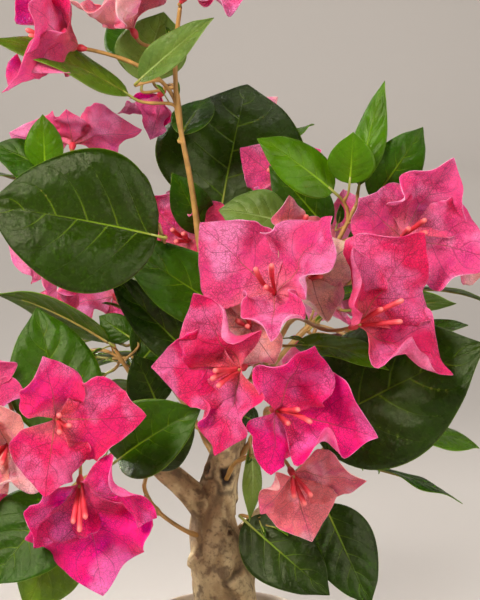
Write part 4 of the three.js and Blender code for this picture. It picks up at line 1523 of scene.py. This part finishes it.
@dataclass(frozen=True)
class PotFinish:
    """Cream glaze with faint specks."""

    cream: tuple = (240, 226, 212)
    shade: tuple = (226, 210, 192)
    speck: tuple = (176, 152, 124)

    def material(self) -> Material:
        """Gives the finish.

        Returns:
            The material.
        """
        paint = Paint("cream_glaze")
        place = paint.place()
        cloud = paint.noise(place, 28, 4)
        specks = paint.node("TexVoronoi", {"Vector": place, "Scale": 260.0}).outputs["Distance"]
        some = paint.rise(paint.noise(place, 90, 2), 0.55, 0.62)
        colour = paint.coats(
            screen(self.cream),
            (paint.rise(cloud, 0.35, 0.7), screen(self.shade)),
            (paint.times(paint.rise(specks, 0.1, 0.2, 0.7, 0), some), screen(self.speck)),
        )
        wear = paint.rise(cloud, 0.3, 0.7, 0.34, 0.5)
        return paint.finish(colour, wear, paint.noise(place, 60, 3), 0.0006, 0.4)


@dataclass(frozen=True)
class FillFinish:
    """Dry tan grit set in the pot."""

    tan: tuple = (190, 170, 145)
    dark: tuple = (132, 112, 88)

    def material(self) -> Material:
        """Gives the finish.

        Returns:
            The material.
        """
        paint = Paint("tan_grit")
        place = paint.place()
        grains = paint.node("TexVoronoi", {"Vector": place, "Scale": 700.0}).outputs["Distance"]
        shade = paint.plus(grains, paint.noise(place, 120, 4))
        colour = paint.coats(screen(self.tan), (paint.rise(shade, 0.6, 1.3), screen(self.dark)))
        return paint.finish(colour, paint.rise(shade, 0.5, 1.2, 0.85, 0.97), shade, 0.0014, 0.9)


def opened(angle: Points, reach: Points) -> tuple[Points, Points]:
    """Lays out cloth whose angle changes from column to column, by adding its short steps up.

    Args:
        angle: The angle of the cloth above the blade's plane, at each point.
        reach: How much cloth lies between the centre line and each point.

    Returns:
        How far each point lies across, and how far up.
    """
    angle = np.broadcast_to(angle, reach.shape)
    middle = (angle[:, 1:] + angle[:, :-1]) / 2
    step = np.diff(reach, axis=1)
    start = np.zeros((len(reach), 1))
    across = np.hstack([start, np.cumsum(np.cos(middle) * step, axis=1)])
    return across, np.hstack([start, np.cumsum(np.sin(middle) * step, axis=1)])


def mirrored(left: Points, right: Points) -> Points:
    """Joins the two halves of a blade, each given from the centre line out, into one grid."""
    return np.hstack([left[:, :0:-1], right])


@dataclass(frozen=True)
class LeafShape:
    """What a leaf's own shape is drawn from: angles in degrees, moves as parts of its length."""

    droop: tuple = (12, 34)
    wave_turns: tuple = (0.8, 1.7)
    wave_depth: tuple = (0.012, 0.035)
    quilt: float = 0.045
    sweep: tuple = (-0.05, 0.05)
    curl: tuple = (0.0, 0.06)


@dataclass(frozen=True)
class BractShape:
    """What a bract's own shape is drawn from: angles in degrees, moves as parts of its length."""

    cup: tuple = (-30, 42)
    body: tuple = (-6, 18)
    throat: float = 34
    throat_skew: float = 8
    roll: tuple = (-60, 150)
    roll_place: tuple = (0.4, 0.8)
    roll_spread: float = 0.24
    lobe_turns: tuple = (1.2, 2.4)
    lobe_size: float = 0.06
    notch_turns: tuple = (5, 8)
    notch_size: float = 0.02
    fullness: float = 1.24
    ruffle_turns: tuple = (1.0, 2.0)
    ruffle: tuple = (40, 90)
    quilt: float = 0.02
    crease: float = 0.055
    crease_steps: tuple = (29, 19, 12, 7.5)
    crease_slope: float = 0.8
    twist: tuple = (-30, 30)
    curl: tuple = (-0.08, 0.17)
    sweep: tuple = (-0.07, 0.07)


@dataclass
class Foliage:
    """The leaves, bracts, tubes and twigs of the sprays, each kind of a spray joined into one piece."""

    effects: Effects
    leaf: LeafShape = LeafShape()
    bract: BractShape = BractShape()
    leaf_rows: int = 33
    leaf_columns: int = 21
    bract_rows: int = 31
    bract_columns: int = 25
    leaf_thickness: float = 0.45
    bract_thickness: float = 0.32
    tube_rings: int = 14
    tube_length: float = 24
    twig_sides: int = 8
    twig_steps: int = 14
    stem_radius: float = 1.15
    stem_growth: float = 0.0045
    twig_radius: float = 1.1
    petiole_radius: float = 0.85
    spine_growth: float = 0.011
    twig_finish: RodFinish = RodFinish("golden_twig", (184, 138, 72), (138, 142, 58), (0.72, 1.0))
    tube_finish: RodFinish = RodFinish("red_tube", (228, 58, 74), (238, 112, 110), (0.8, 1.0), 0.5)
    finishes: dict = field(default_factory=dict)
    rng: Rng = field(init=False)
    leaves: Skin = field(init=False)
    bracts: Skin = field(init=False)
    tubes: Skin = field(init=False)
    twigs: Skin = field(init=False)

    def build(self, crown: Crown) -> None:
        """Builds every spray.

        Args:
            crown: The grown sprays.
        """
        golden, red = self.twig_finish.material(), self.tube_finish.material()
        for spray in crown.sprays:
            self.build_spray(spray, golden, red)

    def wave(self, t: Points, turns: float) -> Points:
        """Gives a wave of so many turns along a blade, with a phase drawn at random."""
        return np.sin(2 * np.pi * turns * t + self.rng.uniform(0, PHASES))

    def finish(self, tone: Enum, reverse: bool) -> Material:
        """Gives a dye lot's finish, made when it is first asked for.

        Args:
            tone: The dye lot.
            reverse: Whether it is for the underside or the outer face.

        Returns:
            The material.
        """
        key = (tone, reverse)
        if key not in self.finishes:
            kind = LeafFinish if isinstance(tone, LeafTone) else BractFinish
            self.finishes[key] = kind(tone, reverse, self.effects).material()
        return self.finishes[key]

    def build_spray(self, spray: Spray, golden: Material, red: Material) -> None:
        """Builds one spray's pieces.

        Args:
            spray: The grown spray.
            golden: The finish of the twigs.
            red: The finish of the tubes.
        """
        self.rng = np.random.default_rng(spray.plan.seed)
        self.leaves, self.bracts, self.tubes, self.twigs = Skin(), Skin(), Skin(), Skin()
        tones: dict[type, list] = {LeafTone: [], BractTone: []}
        stem = smooth_points(spray.plan.stem, (len(spray.plan.stem) - 1) * self.twig_steps)
        foot = self.stem_radius + self.stem_growth * step_lengths(stem).sum()
        self.add_twig(stem, foot, self.stem_radius, 0.6)
        for shoot, stalk in spray.shoots:
            slim = min(1, 0.3 + shoot.blades[0].length / 60)
            end = self.petiole_radius if shoot.bloom is None else self.twig_radius
            path, last = stalk.points(self.twig_steps), 1 if shoot.bloom is None else 0.6
            self.add_twig(path, self.twig_radius * slim, end * slim, last)
            for blade in shoot.blades:
                family = tones[type(blade.tone)]
                if blade.tone not in family:
                    family.append(blade.tone)
                slot = 2 * family.index(blade.tone)
                if shoot.bloom is None:
                    self.add_leaf(blade, slot)
                else:
                    self.add_bract(blade, slot)
            if shoot.bloom is not None:
                self.add_tubes(shoot)
        dyed = {
            kind: [self.finish(tone, reverse) for tone in tones[kind] for reverse in (False, True)]
            for kind in (LeafTone, BractTone)
        }
        for skin, title, materials, slot in (
            (self.twigs, "twigs", [golden], "twig"),
            (self.leaves, "leaves", dyed[LeafTone], "foliage"),
            (self.bracts, "bracts", dyed[BractTone], "blossom"),
            (self.tubes, "tubes", [red], "blossom"),
        ):
            if skin.count:
                skin.piece(f"{title}_{spray.plan.name}", materials, slot, f"spray_{spray.plan.name}")

    def add_twig(self, path: Points, foot: float, end: float, last: float) -> None:
        """Adds a tapering twig with three low rings along it and a slow waver.

        Args:
            path: The points of its path.
            foot: Its radius at the foot.
            end: Its radius at the end.
            last: The number that its colour follows, at its end; it is 0 at the foot.
        """
        part = np.linspace(0, 1, len(path))
        places = np.sort(self.rng.uniform(0.1, 0.9, 3))
        rings = np.exp(-(((part[:, None] - places) / 0.035) ** 2)).sum(1)
        swell = 1 + 0.22 * rings + 0.05 * np.sin(9 * part + self.rng.uniform(0, 6))
        self.add_rod(self.twigs, path, (foot + (end - foot) * part) * swell, last * part)

    def add_rod(self, skin: Skin, path: Points, radii: Points, along: Points) -> None:
        """Adds a ring carried along a path.

        Args:
            skin: Where it goes.
            path: The points of the path.
            radii: The radius at each.
            along: The number that its colour follows, at each.
        """
        points, faces = tube(path, radii, self.twig_sides)
        places = np.zeros((len(path), self.twig_sides, 3))
        places[..., 1] = np.reshape(along, (-1, 1))
        places[..., 2] = self.rng.uniform()
        skin.add_plain(points, faces, places.reshape(-1, 3))

    def add_sheet(
        self, skin: Skin, surface: Points, half: Points, t: Points, part: Points,
        thickness: float, slot: int,
    ) -> None:
        """Gives a surface its thickness and adds it with its front, back and rim.

        Args:
            skin: Where it goes.
            surface: The grid of its middle surface.
            half: Half its width in each row.
            t: The place along in each row.
            part: The place across in each column of one half.
            thickness: Its thickness.
            slot: The number of its front's finish; the next one is its back's.
        """
        own, s = self.rng.uniform(), mirrored(-part, part)
        rows, columns = shape = surface.shape[:2]
        offset = normals_of(surface) * thickness / 2
        points = np.vstack([(surface + offset).reshape(-1, 3), (surface - offset).reshape(-1, 3)])
        length = travelled(surface[:, columns // 2])[:, None]
        grids = ((s, t, own), (s * half, length, own * CLOTH_APART))
        blade, cloth = (
            np.stack([np.broadcast_to(values, shape) for values in grid], -1).reshape(-1, 3)
            for grid in grids
        )
        front, back, rim = sheet_faces(rows, columns)
        faces = [(front, slot), (back, slot + 1), (rim, slot + 1)]
        skin.add(points, faces, np.vstack([blade, blade]), np.vstack([cloth, cloth]))

    def add_leaf(self, blade: Blade, slot: int) -> None:
        """Adds a leaf and the spine under it.

        The surface follows the blade's arc. Across, each half starts at the fold's angle and turns
        down towards its margin, and between slanting side ribs it swells up like a quilt. A slow wave
        grows towards the margin, and the tip sweeps aside and curls down.

        Args:
            blade: Its arc and outline.
            slot: The number of its finish.
        """
        shape, size, rng = self.leaf, blade.length, self.rng
        t = np.linspace(0, 1, self.leaf_rows)[:, None]
        part = np.linspace(0, 1, self.leaf_columns // 2 + 1)[None, :] ** 1.1
        width = blade.half_width(t) * (1 - 0.3 * eased(0.8, 1.0, t))
        half = np.maximum(width, 0.55 * (1 - t) + 0.12)
        belly = np.sin(np.pi * t)
        droop = math.radians(rng.uniform(*shape.droop))
        turns, depth = rng.uniform(*shape.wave_turns), size * rng.uniform(*shape.wave_depth)
        sides = []
        for sign in (-1, 1):
            angle = math.radians(blade.fold) * (1.2 - 0.5 * t) - droop * part * belly**0.4
            across, lift = opened(angle, half * part)
            lift = lift + depth * part**1.8 * (self.wave(t, turns) * belly**0.5)
            lift = lift + shape.quilt * size * quilt(t, part, sign, LEAF_RIBS) * belly**0.6
            sides.append((sign * across, lift))
        across, lift = (mirrored(*pair) for pair in zip(*sides))
        sweep = size * rng.uniform(*shape.sweep) * t**2
        curl = -size * rng.uniform(*shape.curl) * eased(0.6, 1.0, t) ** 2
        up, moved, raised = blade.upward(t), across + sweep, lift + curl
        surface = blade.centre(t) + blade.side * moved[..., None] + up * raised[..., None]
        self.add_sheet(self.leaves, surface, half, t, part, self.leaf_thickness, slot)
        rows = int(self.leaf_rows * 0.8)
        spine = surface[:rows, self.leaf_columns // 2] - up[:rows, 0] * self.leaf_thickness
        radii = min(self.petiole_radius, 0.15 + self.spine_growth * size) * (1 - 0.8 * t[:rows, 0])
        self.add_rod(self.twigs, spine, radii, 0.8 + 0.2 * t[:rows, 0])

    def add_bract(self, blade: Blade, slot: int) -> None:
        """Adds a bract of thin, crumpled cloth.

        Across, each half starts at a steep angle at the foot, where it wraps the tubes, and opens
        towards the tip; on top of that come a cup, ruffles whose angle swings along the margin, and
        on one side a margin that rolls over. The whole is creased by slow crossed waves and twisted,
        and its tip curls back or forward.

        Args:
            blade: Its arc and outline.
            slot: The number of its finish.
        """
        shape, size, rng = self.bract, blade.length, self.rng
        t = np.linspace(0, 1, self.bract_rows)[:, None]
        part = np.linspace(0, 1, self.bract_columns // 2 + 1)[None, :]
        cup = math.radians(rng.uniform(*shape.cup))
        body = math.radians(blade.fold + rng.uniform(*shape.body))
        free, throat = eased(0.1, 0.45, t), np.clip(1 - t / 0.2, 0, 1)
        rolled, roll = rng.integers(0, 2) * 2 - 1, math.radians(rng.uniform(*shape.roll))
        window = np.exp(-(((t - rng.uniform(*shape.roll_place)) / shape.roll_spread) ** 2))
        fade = np.sin(np.pi * t**0.85) ** 0.5
        outline = np.sin(np.pi * t**0.82).clip(0) ** 0.85 * (1 - 0.3 * eased(0.62, 1.0, t))
        outline = outline * (0.45 + 0.55 * eased(0.0, 0.28, t))
        sides = []
        for sign in (-1, 1):
            lobes = 1 + shape.lobe_size * self.wave(t, rng.uniform(*shape.lobe_turns)) * fade
            lobes = lobes + shape.notch_size * self.wave(t, rng.uniform(*shape.notch_turns)) * fade
            width = blade.width / 2 * shape.fullness * outline * lobes
            half = np.maximum(width, 0.9 * (1 - t) + 0.1)
            ruffle = self.wave(t, rng.uniform(*shape.ruffle_turns)) * fade
            angle = math.radians(shape.throat + shape.throat_skew * sign) * throat
            angle = angle + body * (1 - 0.6 * t) + cup * part * free
            angle = angle + math.radians(rng.uniform(*shape.ruffle)) * ruffle * part**1.5 * free
            if sign == rolled:
                angle = angle + roll * eased(0.5, 1.0, part) * window * free
            across, lift = opened(angle, half * part)
            lift = lift + shape.quilt * size * quilt(t, part, sign, BRACT_RIBS) * fade
            sides.append((sign * across, lift, np.broadcast_to(half, lift.shape)))
        across, lift, half = (mirrored(*pair) for pair in zip(*sides))
        slopes = rng.uniform(-shape.crease_slope, shape.crease_slope, 4)
        crease = sum(
            self.wave(across * c + size * t * (1 - abs(c)), 1 / step) * step
            for c, step in zip(slopes, shape.crease_steps)
        )
        lift = lift + shape.crease * crease * fade
        twist = math.radians(rng.uniform(*shape.twist)) * t**1.5
        curl = -size * rng.uniform(*shape.curl) * eased(0.35, 1.0, t) ** 1.5
        sweep = size * rng.uniform(*shape.sweep) * t**2
        turned = across * np.cos(twist) - lift * np.sin(twist) + sweep
        raised = across * np.sin(twist) + lift * np.cos(twist) + curl
        up = blade.upward(t)
        surface = blade.centre(t) + blade.side * turned[..., None] + up * raised[..., None]
        self.add_sheet(self.bracts, surface, half, t, part, self.bract_thickness, slot)

    def add_tubes(self, shoot: Shoot) -> None:
        """Adds a bloom's three tubes, slim at the foot and fuller at their round tips, and its calyx.

        Args:
            shoot: The bloom.
        """
        rng = self.rng
        part = 1 - (1 - np.linspace(0, 1, self.tube_rings)) ** 1.7
        swell = 0.95 + 0.55 * eased(0.1, 0.7, part)
        rounded = np.sqrt(np.clip(1 - (np.clip(part - 0.93, 0, 1) / 0.073) ** 2, 0, 1))
        for blade in shoot.blades:
            lean = unit(shoot.arrive + blade.along * rng.uniform(0.16, 0.36))
            length = self.tube_length * blade.length / 50 * rng.uniform(0.82, 1.06)
            bow = blade.side * rng.uniform(-0.07, 0.07) * length
            path = shoot.end + shoot.arrive * 2 + blade.along * 0.8
            path = path + lean * (length * part)[:, None] + bow * np.sin(np.pi * part)[:, None]
            self.add_rod(self.tubes, path, swell * rounded, part)
        part = np.linspace(0, 1, self.tube_rings)
        calyx = shoot.end + shoot.arrive * (7 * part - 4.5)[:, None]
        self.add_rod(self.tubes, calyx, 1.15 + 1.05 * np.sin(np.pi * part) ** 1.3, 0 * part)


@dataclass(frozen=True)
class Knot:
    """A knot on a limb: its place, its size, its rim and its depth.

    The turn is round the limb and the way along it. The facing is the side on which its rim and the
    groove behind it, a dent darkened with painted shade, are full; they fade towards the other side.
    """

    turn: float
    way: float
    size: float
    rim: float
    depth: float
    facing: float


@dataclass
class Limbs:
    """The moulded trunk and boughs, with relief in the mesh itself."""

    trunk_rings: int = 240
    trunk_sides: int = 168
    trunk_seed: int = 29
    bough_rings: int = 110
    bough_sides: int = 72
    bough_seed: int = 31
    flare_height: float = 12
    flare_extra: float = 5
    flare_lobes: int = 5
    trunk_knots: tuple[Knot, ...] = (
        Knot(-52, 29, 6.5, 1.5, -1.4, 135),
        Knot(-148, 47, 5.0, 0.3, -2.4, -60),
        Knot(-64, 95, 7.0, 0.9, 3.4, -100),
        Knot(-150, 97, 4.5, 1.2, 1.8, -45),
        Knot(-50, 60, 3.0, 0.6, 1.6, 45),
        Knot(75, 54, 6.0, 1.0, 2.0, 160),
        Knot(150, 33, 5.0, 0.8, -1.4, 90),
        Knot(10, 75, 4.0, 0.8, 1.5, -45),
    )
    bough_knots: tuple[Knot, ...] = (
        Knot(-75, 12, 4.5, 0.3, 1.4, -90),
        Knot(90, 42, 2.4, 0.5, 1.0, 0),
    )
    strand_waves: tuple = ((2, 0.6), (3, 0.7), (5, 0.6), (8, 0.35), (13, 0.16), (21, 0.07))

    def build(self) -> None:
        """Builds the trunk and the boughs."""
        bark = BarkFinish().material()
        shape = (self.trunk_rings, self.trunk_sides)
        self.build_limb(TRUNK_PLAN, shape, self.trunk_knots, bark, self.trunk_seed)
        shape = (self.bough_rings, self.bough_sides)
        for seed, plan in enumerate(BOUGH_PLANS, self.bough_seed):
            self.build_limb(plan, shape, self.bough_knots, bark, seed)

    def strands(self, angle: Points, length: Points, rng: Rng, scale: float) -> Points:
        """Gives a field of twisting strands.

        It is a sum of waves round the limb, each of which winds and bends slowly along it.

        Args:
            angle: The angle round the limb.
            length: The way along it.
            rng: The limb's seeded numbers.
            scale: Its thickness, as a part of the trunk's.

        Returns:
            The height of the strands at each ring and side.
        """
        total = np.zeros(np.broadcast(angle, length).shape)
        for turns, weight in self.strand_waves:
            pace = rng.uniform(-0.05, 0.05) * turns * 0.35 / scale
            bend = rng.uniform(1, 3)
            bend = bend * np.sin(length * rng.uniform(0.03, 0.07) / scale + rng.uniform(0, 6))
            total = total + weight * np.sin(turns * angle + pace * length + bend + rng.uniform(0, 6))
        return total / 2.2

    def build_limb(
        self, plan: LimbPlan, shape: tuple[int, int], knots: tuple[Knot, ...], bark: Material, seed: int
    ) -> None:
        """Builds a limb: its radius plus strands, knots, lumps and, on the trunk, a lobed root flare.

        Args:
            plan: Its spine and radii.
            shape: The number of rings along it, and of points in a ring.
            knots: Its knots.
            bark: Its finish.
            seed: The seed of its relief.
        """
        rings, sides = shape
        rng = np.random.default_rng(seed)
        is_trunk = plan is TRUNK_PLAN
        path = smooth_points(plan.spine, rings - 1)
        part = np.linspace(0, 1, rings)[:, None]
        length, angle = travelled(path)[:, None], angles_round(sides)[None, :]
        radius = np.interp(part * (len(plan.radii) - 1), np.arange(len(plan.radii)), plan.radii)
        step = part * 26
        gnarl = 1 + 0.035 * np.sin(3 * angle + step) + 0.03 * np.sin(2 * angle - 0.7 * step)
        scale = float(np.mean(plan.radii)) / 12
        relief = self.strands(angle, length, rng, scale)
        # The painted shade of pits, grooves and closed bough ends, which the bark's colour reads.
        pit_shade = np.zeros_like(relief)
        outside = radius * (gnarl if is_trunk else 1) + relief * (0.75 * radius / 14)
        for knot in knots:
            around = (np.mod(angle - math.radians(knot.turn) + np.pi, 2 * np.pi) - np.pi) * radius
            distance = np.hypot(around, length - knot.way) / (knot.size * min(1, scale + 0.3))
            heading = np.arctan2(length - knot.way, around)
            ragged = 1 + 0.13 * np.sin(3 * heading + rng.uniform(0, 6))
            ragged = ragged + 0.08 * np.sin(7 * heading + rng.uniform(0, 6))
            distance = distance * ragged
            side = (0.5 + 0.5 * np.cos(heading - math.radians(knot.facing))) ** 0.8
            groove = np.exp(-((distance - 1.3) * 2.6) ** 2) * side
            rim = np.exp(-((distance - 0.9) * 3) ** 2) * (0.3 + 0.7 * side)
            outside = outside + knot.rim * (rim - groove) - knot.depth * np.exp(-(distance * 1.3) ** 4)
            # Painted shade in the knot's pit and in the groove on its facing side.
            pit_shade = np.maximum(pit_shade, np.exp(-(distance * 1.2) ** 4) * min(1, max(0, knot.depth) / 3))
            pit_shade = np.maximum(pit_shade, groove * min(0.6, knot.rim))
            relief = relief + 0.5 * rim + max(0, -knot.depth) * np.exp(-(distance * 1.1) ** 6)
        if is_trunk:
            flare = np.clip(1 - (path[:, 2:] - FILL_LEVEL) / self.flare_height, 0, 1) ** 2
            lobes = 0.7 + 0.3 * np.cos(self.flare_lobes * angle)
            outside = outside + self.flare_extra * flare * lobes
        else:
            outside = outside * (1 + 0.28 * np.clip(1 - part / 0.3, 0, 1) ** 2)
            # Painted shade at the bough's closed end, standing for a dark socket.
            pit_shade = np.maximum(pit_shade, np.broadcast_to(eased(0.955, 1.0, part), pit_shade.shape) * 0.9)
        points, faces = tube(path, outside * (1 - 0.55 * eased(0.97, 1.0, part) ** 2), sides)
        if is_trunk:
            points[:, 2] = np.maximum(points[:, 2], plan.spine[0][2] - 0.1)
        places = np.stack([relief, pit_shade, np.zeros_like(pit_shade)], -1).reshape(-1, 3)
        Skin().add_plain(points, faces, places).piece(f"{plan.name}_bark", [bark], "bark", plan.name)


@dataclass
class Pot:
    """The small round pot and its fill, both turned round the same axis."""

    height: float = 88
    foot_radius: float = 34
    rim_radius: float = 46
    rim_rise: float = 2.2
    wall: float = 4.5
    floor: float = 7
    edge: float = 1.9
    fit: float = 0.3
    axis_gap: float = 0.01
    sides: int = 144
    arc_steps: int = 8
    wall_steps: int = 60
    lump_seed: int = 7
    lump_waves: tuple = (0.25, 0.4, 0.6, 0.9, 1.3, 1.8)

    def radius(self, height: Points | float) -> Points | float:
        """Gives the outer radius at a height."""
        return self.foot_radius + (self.rim_radius - self.foot_radius) * height / self.height

    def inside(self, height: Points | float) -> Points | float:
        """Gives the inner radius at a height."""
        return self.radius(height) - self.wall

    def profile(self) -> Points:
        """Gives the pot's section: flat foot, leaning wall with faint turning rings, and a round rim.

        Returns:
            The radius and height of each point, from the axis below to the axis inside.
        """
        turn = np.linspace(0, 1, self.arc_steps)
        z = np.linspace(self.edge + 1, self.height - self.edge - 1.5, self.wall_steps)
        swing = np.linspace(0, np.pi, 2 * self.arc_steps)
        down = np.linspace(self.height - 4, self.floor + 3, self.wall_steps // 2)
        middle, half = self.radius(self.height) - self.wall / 2, self.foot_radius * 0.5
        return np.vstack([
            [[self.axis_gap, 0.0], [half, 0.0]],
            np.c_[
                self.foot_radius - self.edge + self.edge * np.sin(turn * np.pi / 2),
                self.edge * (1 - np.cos(turn * np.pi / 2)),
            ],
            np.c_[self.radius(z) + 0.12 * np.sin(z * 1.1) + 0.08 * np.sin(z * 2.7 + 1), z],
            np.c_[
                middle + (self.wall / 2) * np.cos(swing),
                self.height - self.rim_rise + self.rim_rise * np.sin(swing),
            ],
            np.c_[self.inside(down), down],
            np.c_[self.inside(self.floor) - 3 * turn, self.floor + 3 * (1 - turn) ** 2],
            [[half, self.floor], [self.axis_gap, self.floor]],
        ])

    def fill_profile(self) -> Points:
        """Gives the fill's section: its underside, its leaning side and its top.

        Returns:
            The radius and height of each point, from the axis below to the axis on top.
        """
        bottom = self.floor + self.fit
        side = np.linspace(bottom, FILL_LEVEL - 1.5, self.wall_steps // 3)
        radii = np.linspace(self.inside(FILL_LEVEL) - self.fit - 0.2, self.axis_gap, self.wall_steps)
        return np.vstack([
            [[self.axis_gap, bottom]],
            np.c_[self.inside(side) - self.fit, side],
            np.c_[radii, np.full(self.wall_steps, FILL_LEVEL - 0.6)],
        ])

    def turned(self, profile: Points) -> Points:
        """Carries a section round the axis.

        Args:
            profile: The radius and height of each of its points.

        Returns:
            The point at each ring and side.
        """
        angle = angles_round(self.sides)
        radii, heights = profile[:, :1], profile[:, 1:]
        x, y = radii * np.cos(angle), radii * np.sin(angle)
        return np.stack([x, y, np.broadcast_to(heights, x.shape)], -1)

    def build(self) -> None:
        """Builds the pot and its fill, whose top is lumpy with crossed waves."""
        shell, fill = self.turned(self.profile()), self.turned(self.fill_profile())
        x, y = fill[..., 0], fill[..., 1]
        rng = np.random.default_rng(self.lump_seed)
        lumps = sum(
            np.sin(x * rng.uniform(-k, k) + y * rng.uniform(-k, k) + rng.uniform(0, 6)) / k
            for k in self.lump_waves
        )
        fill[..., 2] += 0.22 * lumps * (np.arange(len(fill)) > self.wall_steps // 3)[:, None]
        for name, points, finish, slot, node in (
            ("pot_shell", shell, PotFinish(), "pot", "pot"),
            ("pot_grit", fill, FillFinish(), "fill", "pot_fill"),
        ):
            skin = Skin().add_plain(points.reshape(-1, 3), barrel_faces(*points.shape[:2]))
            skin.piece(name, [finish.material()], slot, node)


@dataclass(frozen=True)
class Lamp:
    """A square lamp: its place and side in metres, its power, its beam in degrees and its target."""

    name: str
    place: tuple
    side: float
    power: float
    beam: float = 180
    target: tuple = (0, 0, 0.28)

    def hang(self, daylight: tuple) -> None:
        """Hangs the lamp, turned to its target.

        Args:
            daylight: The colour of its light.
        """
        data = bpy.data.lights.new(self.name, "AREA")
        data.size, data.energy, data.color = self.side, self.power, daylight
        data.spread = math.radians(self.beam)
        lamp = bpy.data.objects.new(self.name, data)
        lamp.location = self.place
        x, y, z = vector(self.target) - vector(self.place)
        lamp.rotation_euler = (math.atan2(math.hypot(x, y), -z), 0, math.atan2(y, x) - math.pi / 2)
        bpy.context.scene.collection.objects.link(lamp)


@dataclass
class Studio:
    """The floor, the backdrop, the lights and the camera."""

    distance: float = 1150
    target: tuple = (7, 0, 278)
    elevation: float = 10
    view_height: float = 348
    sensor: float = 36
    sweep_start: float = 3300
    sweep_radius: float = 900
    sweep_steps: int = 24
    sides: int = 96
    paper: tuple = (188, 182, 177)
    daylight: tuple = (1.0, 0.965, 0.915)
    sky: tuple = (236, 232, 228)
    sky_strength: float = 0.06
    lamps: tuple[Lamp, ...] = (
        Lamp("window", (-0.82, -1.06, 1.35), 0.5, 43),
        Lamp("behind", (-0.8, 0.9, 1.3), 0.4, 11),
        Lamp("right", (1.3, -0.8, 0.7), 0.5, 14),
        Lamp("rim", (-0.9, 0.75, 0.42), 0.3, 0.5, 24, (0, 0.03, 0.09)),
        Lamp("floor", (0.43, 0.43, 1.15), 0.5, 2.6, 65, (0.56, 0.21, 0)),
    )
    wall_place: tuple = (0.1, 1.95, 2.75)
    wall_target: tuple = (-0.15, 3.65, 0)
    wall_side: float = 1.7
    wall_beam: float = 114
    wall_powers: tuple = (31, 18, 18, 18)

    def build(self) -> None:
        """Sets up everything around the plant."""
        self.add_camera()
        self.add_floor()
        self.add_lights()

    def add_camera(self) -> None:
        """Puts the camera in front, a little above and looking down."""
        camera = bpy.data.objects.new("camera", bpy.data.cameras.new("camera"))
        bpy.context.scene.collection.objects.link(camera)
        bpy.context.scene.camera = camera
        lean = math.radians(self.elevation)
        back = vector((0, -math.cos(lean), math.sin(lean))) * self.distance
        camera.location = (vector(self.target) + back) * MM
        camera.rotation_euler = (math.pi / 2 - lean, 0, 0)
        camera.data.sensor_width = self.sensor
        camera.data.lens = self.sensor * self.distance / self.view_height

    def add_floor(self) -> None:
        """Lays a pale round floor that sweeps up all round: a flat part, a quarter turn and a wall."""
        turn = np.linspace(0, np.pi / 2, self.sweep_steps)
        start, bend = self.sweep_start, self.sweep_radius
        radius = np.concatenate([[start / 8], start + bend * np.sin(turn), [start + bend]])
        z = np.concatenate([[0], bend * (1 - np.cos(turn)), [3 * bend]])
        angle = angles_round(self.sides)
        points = np.stack([radius[:, None] * np.cos(angle), radius[:, None] * np.sin(angle),
                           np.repeat(z[:, None], self.sides, 1)], -1)
        faces = grid_faces(len(radius), self.sides, True)[:, ::-1].tolist()
        mesh = bpy.data.meshes.new("studio_floor")
        mesh.from_pydata((points.reshape(-1, 3) * MM).tolist(), [], [*faces, list(range(self.sides))])
        mesh.polygons.foreach_set("use_smooth", np.ones(len(mesh.polygons), bool))
        paint = Paint("studio_paper")
        paint.plain(Base_Color=screen(self.paper), Roughness=0.9)
        mesh.materials.append(paint.material)
        floor = bpy.data.objects.new("studio_floor", mesh)
        bpy.context.scene.collection.objects.link(floor)

    def add_lights(self) -> None:
        """Hangs a soft light at the upper left, weaker ones round it, and one before each wall."""
        lamps = [*self.lamps]
        for number, power in enumerate(self.wall_powers):
            cos, sin = math.cos(number * math.pi / 2), math.sin(number * math.pi / 2)
            spots = (self.wall_place, self.wall_target)
            place, target = ((x * cos - y * sin, x * sin + y * cos, z) for x, y, z in spots)
            lamps.append(Lamp(f"wall_{number}", place, self.wall_side, power, self.wall_beam, target))
        for lamp in lamps:
            lamp.hang(self.daylight)
        world = bpy.data.worlds.new("studio")
        world.use_nodes = True
        background = world.node_tree.nodes["Background"]
        background.inputs["Color"].default_value = screen(self.sky)
        background.inputs["Strength"].default_value = self.sky_strength
        bpy.context.scene.world = world
        bpy.context.scene.view_settings.view_transform = "Standard"


def main() -> None:
    """Builds the plant in order."""
    logging.basicConfig(level=logging.INFO, format="%(name)s: %(message)s")
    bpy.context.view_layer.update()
    Studio().build()
    Pot().build()
    Limbs().build()
    Foliage(Effects()).build(Crown(GrowingRule(), FINER_RULE))
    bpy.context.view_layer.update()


if __name__ == "__main__":
    main()
